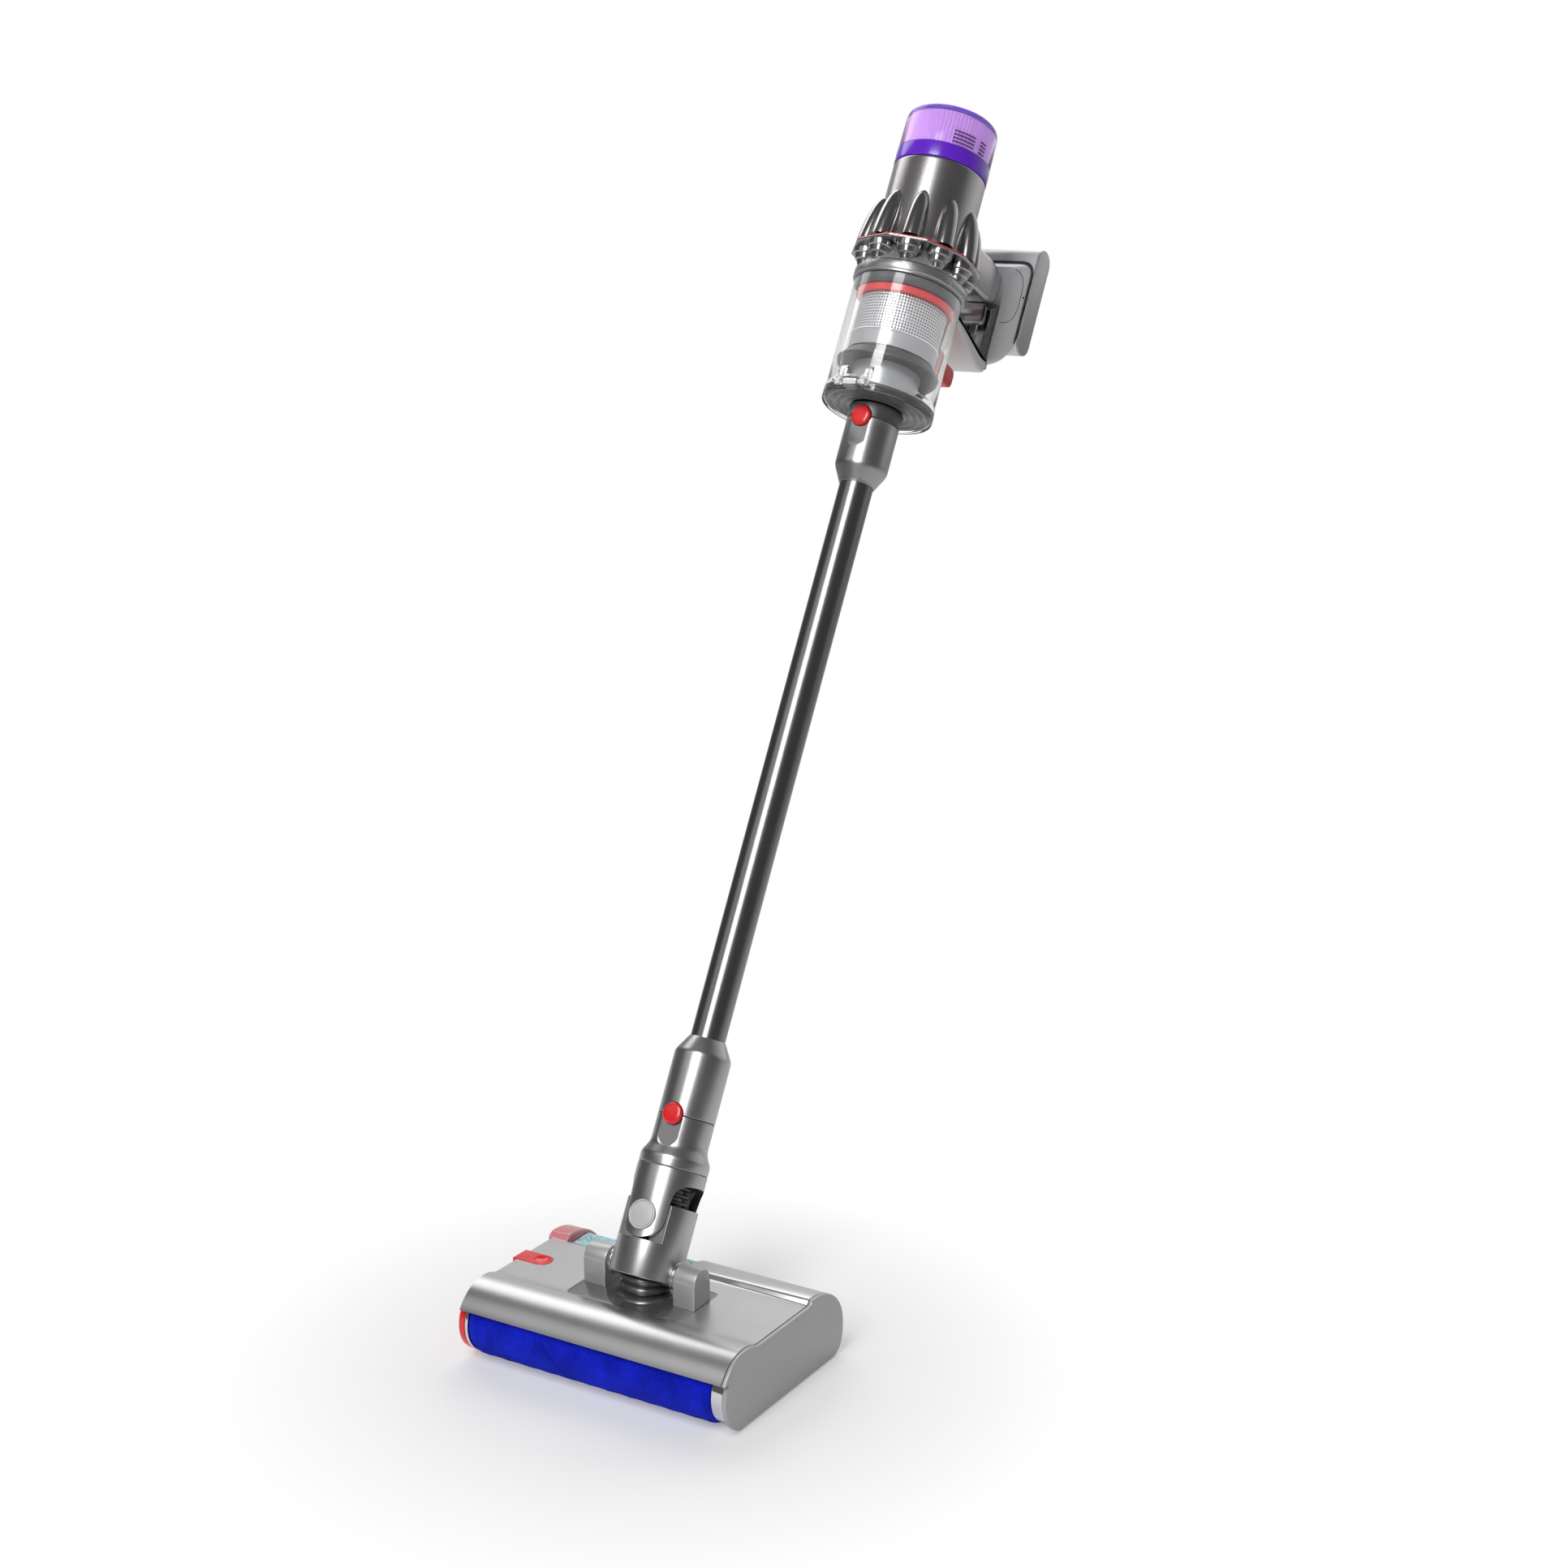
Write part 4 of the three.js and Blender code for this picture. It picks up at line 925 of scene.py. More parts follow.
    def roller_pieces(self) -> None:
        """The pile roller, its bright end ring and the red plug with a bright rim."""
        rows, cols = 300, 150
        along = np.linspace(-118, 112, rows)[:, None]
        angle = (np.arange(cols) * FULL_TURN / cols)[None, :]
        rng = np.random.default_rng(7)
        ends = np.clip((along + 118) / 6, 0, 1) * np.clip((112 - along) / 6, 0, 1)
        plush = rng.normal(0.0, 0.16, (rows, cols)) + 0.25 * np.sin(along / 3.1 + 3 * angle)
        seam = np.minimum(1.0, np.abs(np.mod(angle / FULL_TURN - along / 150.0 + 0.5, 1.0) - 0.5) * 40)
        radius = self.roller_radius + 0.3 - 3.2 * (1 - np.sqrt(ends)) + plush * 0.6 - 0.7 * (1 - seam)
        p = self.roller[0] + radius * np.sin(angle)
        q = self.roller[1] - radius * np.cos(angle)
        skin = grid(Axis.ACROSS.place(p, q, along), loop_rows=False, loop_cols=True, caps=True)
        self.shop.piece("roller_pile", skin, Space.HEAD, PileFinish(), "roller", ["roller_sleeve"],
                        smooth=180)
        rim = hoop([(20, 112.3), (27.6, 112.3), (27.6, 122.6), (20, 122.6)], 1.0, axis=Axis.ACROSS,
                   centre=self.roller)
        self.shop.piece("roller_ring", rim, Space.HEAD, CHROME, "roller", ["roller_end_ring"])
        plug = rounded([(0, -126.5), (21, -126.5), (23, -128.0), (28.4, -128.0), (28.6, -122.6),
                        (26, -121.4), (0, -121.4)], [0, 2, 1, 1.6, 1, 1, 0], closed=False)
        self.shop.piece("roller_plug_red", turned(plug, Axis.ACROSS, self.roller), Space.HEAD, RED,
                        "floor_head", ["roller_plug"])
        grip = prism(rounded([(-17, -2.4), (17, -2.4), (17, 2.4), (-17, 2.4)], 2.0), -129.4, -127.9,
                     Axis.ACROSS, 0.5, 3).moved((0, self.roller[0], self.roller[1]))
        self.shop.piece("roller_plug_grip", grip, Space.HEAD, RED, "floor_head")
        bright = hoop([(24, -121.2), (28.9, -121.2), (28.9, -118.4), (24, -118.4)], 0.8,
                      axis=Axis.ACROSS, centre=self.roller)
        self.shop.piece("roller_left_ring", bright, Space.HEAD, CHROME, "floor_head")

    def tank(self) -> None:
        """Clear tank with its liquid, and the tinted red cap on its outer end."""
        full, low = self.lobe_arc(), self.tank_floor
        front = self.valley + 0.9
        floor = np.array([(77.0, low), (front, low), (front, self.deck)])
        outline = thinned(np.concatenate([full[full[:, 1] > low], floor]))
        walls = prism(outline, self.tank_cap, self.tank_end - 0.4, Axis.ACROSS, 0.6, 3)
        shell = self.shop.solid("tank_shell", walls, Space.HEAD)
        hollow = prism(inset(outline, 2.2), self.tank_cap - 2, self.tank_end - 3, Axis.ACROSS)
        self.shop.carve(shell, [hollow], Space.HEAD)
        self.shop.finish(shell, CLEAR_TANK, "tank", ["water_tank"])
        water = inset(outline, 2.5)
        water = thinned(np.stack([water[:, 0], np.minimum(water[:, 1], self.water_level)], axis=1))
        liquid = prism(water, self.tank_cap + 0.5, self.tank_end - 3.6, Axis.ACROSS, 0.8, 3)
        self.shop.piece("tank_water", liquid, Space.HEAD, WaterFinish(), "tank")
        cap = prism(outline, -self.half, self.tank_cap - 0.3, Axis.ACROSS, 1.6, 6)
        self.shop.piece("tank_cap_red", cap, Space.HEAD, RED_TINT, "tank", ["tank_cap"])
        band = prism(outline, self.tank_cap - 3.2, self.tank_cap - 1.2, Axis.ACROSS, 0.3, 2)
        self.shop.piece("tank_cap_band", band.moved((0, 0.15, 0.15)), Space.HEAD, LIGHT, "tank")

    def tab(self) -> None:
        """Red release tab with a round thumb dimple."""
        nose = arc(self.tab_centre[:2], 8.9, -90, 90, 24)
        plan = np.concatenate([nose, [(-self.half, 10.4), (-self.half, -7.4)]])
        pad = prism(plan, self.deck - 4.5, self.deck + 0.5, Axis.ALONG, 0.7, 4)
        tab = self.shop.solid("release_tab_red", pad, Space.HEAD)
        angle = np.radians(np.linspace(-90, 90, 24))
        ball = np.stack([14.0 * np.cos(angle), self.deck + 12.2 + 14.0 * np.sin(angle)], axis=1)
        dimple = turned(ball, Axis.ALONG, segments=48).moved(self.tab_centre)
        self.shop.carve(tab, [dimple], Space.HEAD)
        self.shop.finish(tab, RED, "roller_tab", ["release_tab"])

    def wheels(self) -> None:
        """Two small rear wheels with soft tyres and dished hubs."""
        for side, name, body in ((-1, "left_wheel", "wheel_left"), (1, "right_wheel", "wheel_right")):
            low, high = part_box(name)
            y, z = 0.5 * (low.y + high.y) / MM, 0.5 * (low.z + high.z) / MM
            x = side * 88.0
            corners = [(0, x - 4), (5, x - 4), (6, x - 7), (9.2, x - 7), (9.2, x + 7), (6, x + 7),
                       (5, x + 4), (0, x + 4)]
            profile = rounded(corners, [0, 0.5, 1, 2, 2, 1, 0.5, 0], closed=False)
            axle = [(0, x - 12.5), (2.1, x - 12.5), (2.1, x + 12.5), (0, x + 12.5)]
            wheel = joined([turned(profile, Axis.ACROSS, (y, z), segments=64),
                            turned(axle, Axis.ACROSS, (y, z), segments=24)])
            self.shop.piece(name + "_tyre", wheel, Space.HEAD, BLACK, body, [name])

    def bellows(self) -> None:
        """Ribbed sleeve from the deck up into the neck.

        The centre line is straight and each ring's plane turns from level to square with the
        wand, so a point at height share k lies at base (1 - k) + top k plus its radius.
        """
        ribs = 4
        share = np.linspace(0.0, 1.0, 90)
        body = 16.6 + 3.6 * np.abs(np.cos(share * ribs * math.pi)) ** 0.6
        flare = 3.6 * np.clip(1 - share / 0.10, 0, 1) ** 0.4
        radius = (body + flare)[:, None]
        angle = (np.arange(96) * FULL_TURN / 96)[None, :]
        tilt = LEAN * share[:, None]
        base, top = np.array([0.0, -1.5, self.deck - 0.5]), np.array([0.0, 1.5, self.pivot + 3.0])
        centre = base + (top - base) * share[:, None]
        x = centre[:, :1] + radius * np.sin(angle) * 1.04
        run = -radius * np.cos(angle)
        y = centre[:, 1:2] + run * np.cos(tilt)
        z = centre[:, 2:] - run * np.sin(tilt)
        skin = grid(np.stack(np.broadcast_arrays(x, y, z), axis=-1), False, True, caps=True)
        sleeve = self.shop.solid("bellows_sleeve", skin, Space.HEAD)
        self.shop.finish(sleeve, BELLOWS, None, ["bellows"], smooth=60)
        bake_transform(sleeve)


# --------------------------------------------------------------------------- neck and wand
@dataclass
class Neck:
    """Neck barrel, swivel fork, pin caps, hose, connector and its button, in millimetres."""

    shop: Shop
    radius: float = 29.0
    bore: float = 22.0
    flat: float = 20.6
    low: float = -8.0
    steer: float = 40.0
    arm: float = 18.0
    top: float = 52.0
    ring: float = 71.0
    collar_top: float = 81.0
    connector: float = 23.5
    seam: float = 123.0

    def build(self) -> None:
        """Make every piece between the deck and the wand's lower seam."""
        self.barrel()
        self.fork()
        self.caps()
        self.hose()
        self.connector_body()
        for name, radius, station in (("seam_shadow", self.connector, self.seam - 0.2),
                                      ("collar_shadow", 28.5, self.collar_top + 0.05)):
            inner, outer, low, high = radius - 4, radius - 0.35, station - 0.5, station + 0.1
            line = hoop([(inner, low), (outer, low), (outer, high), (inner, high)], 0.0)
            self.shop.piece(name, line, Space.WAND, BLACK, "swivel")
        push_button(self.shop, "head_button_red", self.seam, "head_catch", "head_button")
        for node in ("left_tilt_pin", "right_tilt_pin"):
            self.shop.dress(node, CHROME)

    def barrel(self) -> None:
        """Barrel with flats for the fork arms and stepped discs on the tilt axis."""
        low, top = self.low, self.top
        corners = [(self.bore, low), (self.radius, low), (self.radius, top), (self.bore, top)]
        barrel = self.shop.solid("neck_barrel", hoop(corners, 0.8, 4, 128), Space.WAND)
        step = self.steer - self.arm - 0.6
        cuts = [block((-45, -45, step), (45, -self.flat, 90)), block((-45, self.flat, step), (45, 45, 90))]
        full = LEAN + math.radians(joint("neck_tilt")["range_deg"][1])
        heel = block((-45, -60, -62), (45, 60, -17.2)).turned_about(Axis.ACROSS, full)
        self.shop.carve(barrel, [*cuts, heel], Space.WAND)
        self.shop.soften(barrel, 0.5)
        self.shop.finish(barrel, NECK_GREY, "neck", ["neck_body"])
        for side in (-1, 1):
            steps = [(0, 20), (9.8, 20), (9.8, 27.6), (11.0, 28.2), (11.0, 29.6), (10.1, 30.0), (10.1, 31.4),
                     (9.2, 32.1), (0, 32.1)]
            radii = [0, 0, 0.3, 0.5, 0.4, 0.3, 0.4, 0.5, 0]
            line = rounded([(r, side * h) for r, h in steps], radii, 4, closed=False)
            name = "left_trunnion_disc" if side < 0 else "right_trunnion_disc"
            self.shop.piece(name, turned(line, Axis.ACROSS, segments=72), Space.WAND, NECK_GREY, "neck")

    def arm_outline(self) -> Array:
        """Front view of the fork: round-ended arms that flare into the ring."""
        r, c, ring, top = self.arm, self.steer, self.ring, self.collar_top
        foot = arc((0, c), r, 180, 360, 30)
        right = bezier([(r, c), (r, ring - 14), (r + 1, ring - 1), (r + 14, ring)], 14)
        left = right[::-1] * np.array([-1.0, 1.0])
        head = np.array([(r + 14, top + 2), (-r - 14, top + 2)])
        return np.concatenate([foot, right[1:], head, left])

    def fork(self) -> None:
        """Fork collar: ring above, a curved arm in front and behind, open windows at the sides."""
        low, high, r = self.steer - self.arm, self.collar_top, self.radius
        ring = hoop([(24.0, low), (r, low), (r - 0.3, high), (24.0, high)], [0, 0, 0.7, 0.5], 4, 128)
        fork = self.shop.solid("fork_collar_skin", ring, Space.WAND)
        front = prism(self.arm_outline(), -50, 50, Axis.BACK)
        self.shop.carve(fork, [front], Space.WAND, "INTERSECT")
        half, top = self.flat + 0.9, self.ring - 1.0
        inside = rounded([(-half, 15), (half, 15), (half, top), (-half, top)], [0, 0, 14, 14], 10)
        window = prism(inside, -60, 60, Axis.ACROSS)
        seats = []
        for near, far in ((-60, -r + 2.2), (r - 2.2, 60)):
            seat = [(0, near), (12.4, near), (12.4, far), (0, far)]
            seats.append(turned(seat, Axis.BACK, (0, self.steer)))
        self.shop.carve(fork, [window, *seats], Space.WAND)
        self.shop.soften(fork, 0.5)
        self.shop.finish(fork, NECK_GREY, "swivel", ["fork_collar"])

    def caps(self) -> None:
        """Round pin caps with a raised rim, front and back, their faces lightened as a painted highlight."""
        r = self.radius
        steps = [(0, r - 4), (11.9, r - 4), (11.9, r + 0.2), (10.9, r + 0.2), (10.7, r - 0.9),
                 (10.0, r - 0.9), (9.8, r + 0.1), (0, r + 0.3)]
        radii = [0, 0, 0.4, 0.2, 0, 0, 0.3, 0]
        for side, end in ((-1, "front"), (1, "rear")):
            line = rounded([(a, side * h) for a, h in steps], radii, 4, closed=False)
            cap = turned(line, Axis.BACK, (0, self.steer), segments=96)
            self.shop.piece("steer_cap_" + end, cap, Space.WAND, CAP_FACE_PAINTED_HIGHLIGHT, "swivel", [end + "_steer_pin"])

    def hose(self) -> None:
        """Corrugated hose: a cosine wave of ribs along the middle of the neck."""
        low, high, ribs = 6.0, self.collar_top - 1.0, 12
        s = np.linspace(low, high, ribs * 14)
        r = 16.6 + 2.6 * np.cos((s - low) / (high - low) * ribs * FULL_TURN)
        outer = np.stack([r, s], axis=1)
        line = np.concatenate([[(12.0, low)], outer, [(12.0, high)]])
        hose = self.shop.solid("corrugated_hose", turned(line, ring=True, segments=72), Space.WAND)
        self.shop.finish(hose, HOSE_BLACK, None, ["swivel_hose"], smooth=70)
        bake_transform(hose)

    def connector_body(self) -> None:
        """Flared connector with a thumb scoop below the button and a spigot inside the wand."""
        s, seam = self.collar_top + 0.3, self.seam
        r = self.connector
        corners = [(16, s), (28.6, s), (28.6, s + 8), (r + 0.6, s + 16.5), (r, s + 20),
                   (r, seam - 0.7), (19.6, seam - 0.7), (19.6, seam + 27), (16, seam + 27)]
        skin = hoop(corners, [0, 0.8, 1.6, 3, 4, 0.5, 0.3, 1, 0], 6, 128)
        body = self.shop.solid("head_connector_body", skin, Space.WAND)
        self.shop.carve(body, button_cuts(seam, -20.5), Space.WAND)
        self.shop.soften(body, 0.45)
        self.shop.finish(body, NECK_GREY, "swivel", ["head_connector"])


def button_cuts(seam: float, depth: float, scoop: bool = True) -> list[Surface]:
    """Cutters for a catch button on a seam: a round pocket, and a flat thumb scoop below it.

    Args:
        seam: station of the seam.
        depth: level of the scoop's floor on the back axis.
        scoop: whether the scoop is cut as well.

    Returns:
        The cutting solids.
    """
    pocket = turned([(0, -50), (9.4, -50), (9.4, -17.9), (0, -17.9)], Axis.BACK, (0, seam), segments=64)
    if not scoop:
        return [pocket]
    outline = np.concatenate([arc((0, seam - 17.5), 9.6, 180, 360, 24), [(9.6, seam - 2), (-9.6, seam - 2)]])
    return [pocket, prism(outline, -50, depth, Axis.BACK)]


def push_button(shop: Shop, name: str, seam: float, body: str, node: str) -> None:
    """Round red button with a domed face."""
    line = rounded([(0, -20.7), (8.8, -20.7), (8.8, -24.6), (6.5, -25.7), (0, -26.2)], [0, 0, 1.2, 2.5, 0], 6,
                   closed=False)
    shop.piece(name, turned(line, Axis.BACK, (0, seam), segments=72), Space.WAND, RED, body, [node])


@dataclass
class Wand:
    """Lower socket, tube, upper coupling and its button, in millimetres."""

    shop: Shop
    lower_seam: float = 123.0
    upper_seam: float = 728.0
    tube_radius: float = 14.5
    socket: float = 23.5
    coupling: float = 22.8

    def build(self) -> None:
        """Make the wand's pieces."""
        low, r, t = self.lower_seam, self.socket, self.tube_radius
        corners = [(20.1, low), (r, low), (r, 174.5), (t + 1.2, 187.6), (t + 0.6, 188.5),
                   (t + 0.2, 188.5), (t + 0.2, 152), (20.1, 152)]
        skin = hoop(corners, [0.3, 0.6, 2.5, 1.2, 0.2, 0, 0, 0], 6, 128)
        socket = self.shop.solid("lower_socket", skin, Space.WAND)
        self.shop.carve(socket, button_cuts(low, 0, scoop=False), Space.WAND)
        self.shop.soften(socket, 0.4)
        self.shop.finish(socket, NECK_GREY, "wand", ["wand_lower_socket"])
        wall = [(13.1, 156), (t, 156), (t, 695), (13.1, 695)]
        self.shop.piece("tube", turned(wall, ring=True, segments=96), Space.WAND, TUBE, "wand", ["wand_tube"])
        self.upper()
        push_button(self.shop, "wand_button_red", self.upper_seam, "wand_catch", "wand_button")

    def upper(self) -> None:
        """Cone and coupling at the top of the tube, with scoop and button pocket."""
        t, r, seam = self.tube_radius, self.coupling, self.upper_seam
        corners = [(t + 0.2, 672.5), (t + 0.9, 672.5), (t + 1.4, 674), (r, 687.5), (r, seam - 0.35),
                   (20.1, seam - 0.35), (20.1, 699), (t + 0.2, 697)]
        skin = hoop(corners, [0, 0.3, 1.2, 3, 0.5, 0.3, 0, 0], 6, 128)
        coupling = self.shop.solid("upper_coupling", skin, Space.WAND)
        self.shop.carve(coupling, button_cuts(seam, -21.2), Space.WAND)
        self.shop.soften(coupling, 0.4)
        self.shop.finish(coupling, NECK_GREY, "wand", ["wand_upper_coupling"])


# --------------------------------------------------------------------------- bin and cyclone
@dataclass
class DustBin:
    """Inlet, hinged base, clear bin and what stands inside it, in millimetres."""

    shop: Shop
    seam: float = 728.0
    flap: float = 741.0
    low: float = 749.0
    high: float = 850.0
    radius: float = 47.5
    duct: float = 16.0
    pads: int = 8

    @property
    def hinge(self) -> tuple[float, float]:
        """Place of the base's hinge: back and along."""
        return (-self.radius - 6.0, self.low - 3.5)

    def build(self) -> None:
        """Make every piece from the inlet to the bin's collar."""
        self.inlet()
        self.base()
        self.shell()
        self.inner_stack()
        self.collar()

    def inlet(self) -> None:
        """Dark inlet ring above the seam, with its spigot and the button's notch."""
        seam, d = self.seam, self.duct
        top = self.flap - 0.3
        corners = [(d, seam - 27), (19.6, seam - 27), (19.6, seam + 0.3), (22.8, seam + 0.3), (23.4, top),
                   (d, top)]
        ring = self.shop.solid("inlet_ring", hoop(corners, [0, 1, 0.2, 0.6, 0.6, 0], 5), Space.WAND)
        track = block((-9.4, -50, 650), (9.4, -17.9, seam))
        self.shop.carve(ring, [*button_cuts(seam, 0, scoop=False), track], Space.WAND)
        self.shop.soften(ring, 0.35)
        self.shop.finish(ring, INLET, "inlet", ["inlet_collar"])
        low, high = seam - 0.5, seam + 0.15
        line = hoop([(18, low), (22.55, low), (22.55, high), (18, high)], 0.0)
        self.shop.piece("inlet_shadow", line, Space.WAND, BLACK, "inlet")

    def base(self) -> None:
        """Clear base with concentric ridges below and a lug for the hinge."""
        r, low, high = self.radius + 1.0, self.flap, self.low - 0.3
        radii = np.linspace(self.duct + 6, r - 1.6, 90)
        ridge = low + 1.1 + 0.9 * np.cos((radii - self.duct) / 6.2 * FULL_TURN)
        under = np.stack([radii, ridge], axis=1)
        rim = rounded([(r - 0.8, low), (r, low + 0.8), (r, high), (r - 3, high), (r - 3, high - 2.6),
                       (self.duct + 2, high - 2.6)], [0.5, 0.6, 0.6, 0.4, 0.4, 0.3], 4, closed=False)
        line = np.concatenate([[(self.duct, high - 1.5), (self.duct, low)], under, rim])
        plate = turned(line, ring=True, segments=128)
        b, s = self.hinge
        ear = rounded([(b - 3.4, s - 3.2), (b + 9, low), (b + 9, high), (b - 3.4, high)], 2.0)
        lug = prism(ear, -7, 7, Axis.ACROSS, 0.6, 3)
        self.shop.piece("bin_flap", joined([plate, lug]), Space.WAND, CLEAR, "inlet", ["bin_base"])
        core = hoop([(self.duct, low + 2.6), (45.0, low + 2.6), (45.4, high - 1.4), (44.4, high - 0.4),
                     (self.duct, high - 0.4)], 0.5)
        self.shop.piece("bin_flap_core", core, Space.WAND, SMOKE, "inlet")
        inner, outer, foot, head = r - 2.9, r - 1.2, high - 2.4, high - 0.2
        seal = hoop([(inner, foot), (outer, foot), (outer, head), (inner, head)], 0.5)
        self.shop.piece("bin_flap_seal", seal, Space.WAND, DARK, "inlet")
        pin = turned([(0, -17), (1.9, -17), (1.9, 17), (0, 17)], Axis.ACROSS, (b, s), segments=32)
        self.shop.piece("hinge_pin", pin, Space.WAND, CHROME, "inlet", ["bin_hinge_pin"])

    def shell(self) -> None:
        """Clear bin with thick rims, and two arms that reach down to the hinge pin."""
        r, low, high = self.radius, self.low, self.high - 0.3
        corners = [(r - 2, low), (r + 0.8, low), (r + 0.8, low + 4), (r, low + 5), (r, high), (r - 2, high)]
        wall = hoop(corners, [0.5, 0.8, 0.8, 0.8, 0.3, 0.3], 4, 144)
        b, s = self.hinge
        parts = [wall]
        for x in (-12.0, 12.0):
            arm = rounded([(b - 3.6, s - 3.6), (b + 3.4, s - 3.6), (b + 4.2, low + 0.5), (-r - 0.2, low + 1),
                           (-r + 0.4, low + 13), (b + 1, low + 8)], [3.4, 3.2, 1, 0.5, 0.5, 4], 6)
            parts.append(prism(arm, x - 3, x + 3, Axis.ACROSS, 0.9, 4))
        self.shop.piece("bin_shell", joined(parts), Space.WAND, CLEAR, "handheld", ["dust_bin"])

    def inner_stack(self) -> None:
        """Duct, flared skirt, band, mesh, red ring and dark skirt, and the rail behind the bin."""
        d = self.duct
        stack = [
            ("air_duct", [(d, 749.6), (29.8, 749.6), (29.8, 777), (d, 777)],
             [0, 1, 0.4, 0], LIGHT, "air_cone"),
            ("flared_skirt",
             [(24, 776.4), (36, 778.2), (44.6, 776.2), (45, 777.6), (37.6, 786.6), (24, 786.6)],
             [0, 3, 0.4, 0.4, 1.2, 0], DARK, "shroud_skirt"),
            ("plain_band", [(24, 787), (37.9, 787), (37.9, 800.4), (37.2, 801.4), (24, 801.4)],
             [0, 0.8, 0.4, 0.4, 0], LIGHT, "shroud_band"),
            ("mesh_sleeve", [(34, 801.4), (37.3, 801.4), (37.3, 834.5), (34, 834.5)],
             [0, 0.2, 0.2, 0], KnitFinish(), "mesh_shroud"),
            ("red_ring", [(24, 834.6), (41, 834.6), (41.4, 835.4), (41.4, 841), (24, 841)],
             [0, 0.4, 0.4, 0.3, 0], RED, "shroud_red_ring"),
            ("dark_skirt", [(24, 841.3), (43.4, 841.3), (45.2, 845), (45.2, 849.9), (24, 849.9)],
             [0, 1, 1, 0.3, 0], DARK, "upper_skirt"),
        ]
        for name, corners, radii, finish, node in stack:
            ring = hoop(corners, radii, 5, 128)
            self.shop.piece(name, ring, Space.WAND, finish, "handheld", [node])
        plan = arc_band(self.radius + 1.0, self.radius + 2.7, 158, 202, 30)
        rail = prism(plan, 753.0, 848.0, Axis.ALONG, 0.4, 3)
        self.shop.piece("bin_rail", rail, Space.WAND, DARK, "handheld")
        line = hoop([(36.8, 800.9), (38.2, 800.9), (38.2, 802.2), (36.8, 802.2)], 0.4, 4)
        self.shop.piece("mesh_rim", line, Space.WAND, CHROME, "handheld")

    def collar(self) -> None:
        """Grey band round the bin's top with shallow raised pads."""
        r = self.radius
        corners = [(24, 850.3), (r + 0.6, 850.3), (r + 0.6, 852), (r + 1.7, 852.6), (r + 1.7, 860.2),
                   (24, 861)]
        band = hoop(corners, [0, 0.3, 0.3, 0.5, 0.8, 0], 4, 144)
        pad = prism(arc_band(r + 1.2, r + 2.1, -17, 17, 20), 853.2, 859.6, Axis.ALONG, 0.25, 3)
        turns = np.arange(self.pads) * FULL_TURN / self.pads
        pads = [pad.turned_about(Axis.ALONG, turn) for turn in turns]
        self.shop.piece("bin_collar_band", joined([band, *pads]), Space.WAND, SATIN, "handheld",
                        ["bin_collar"])


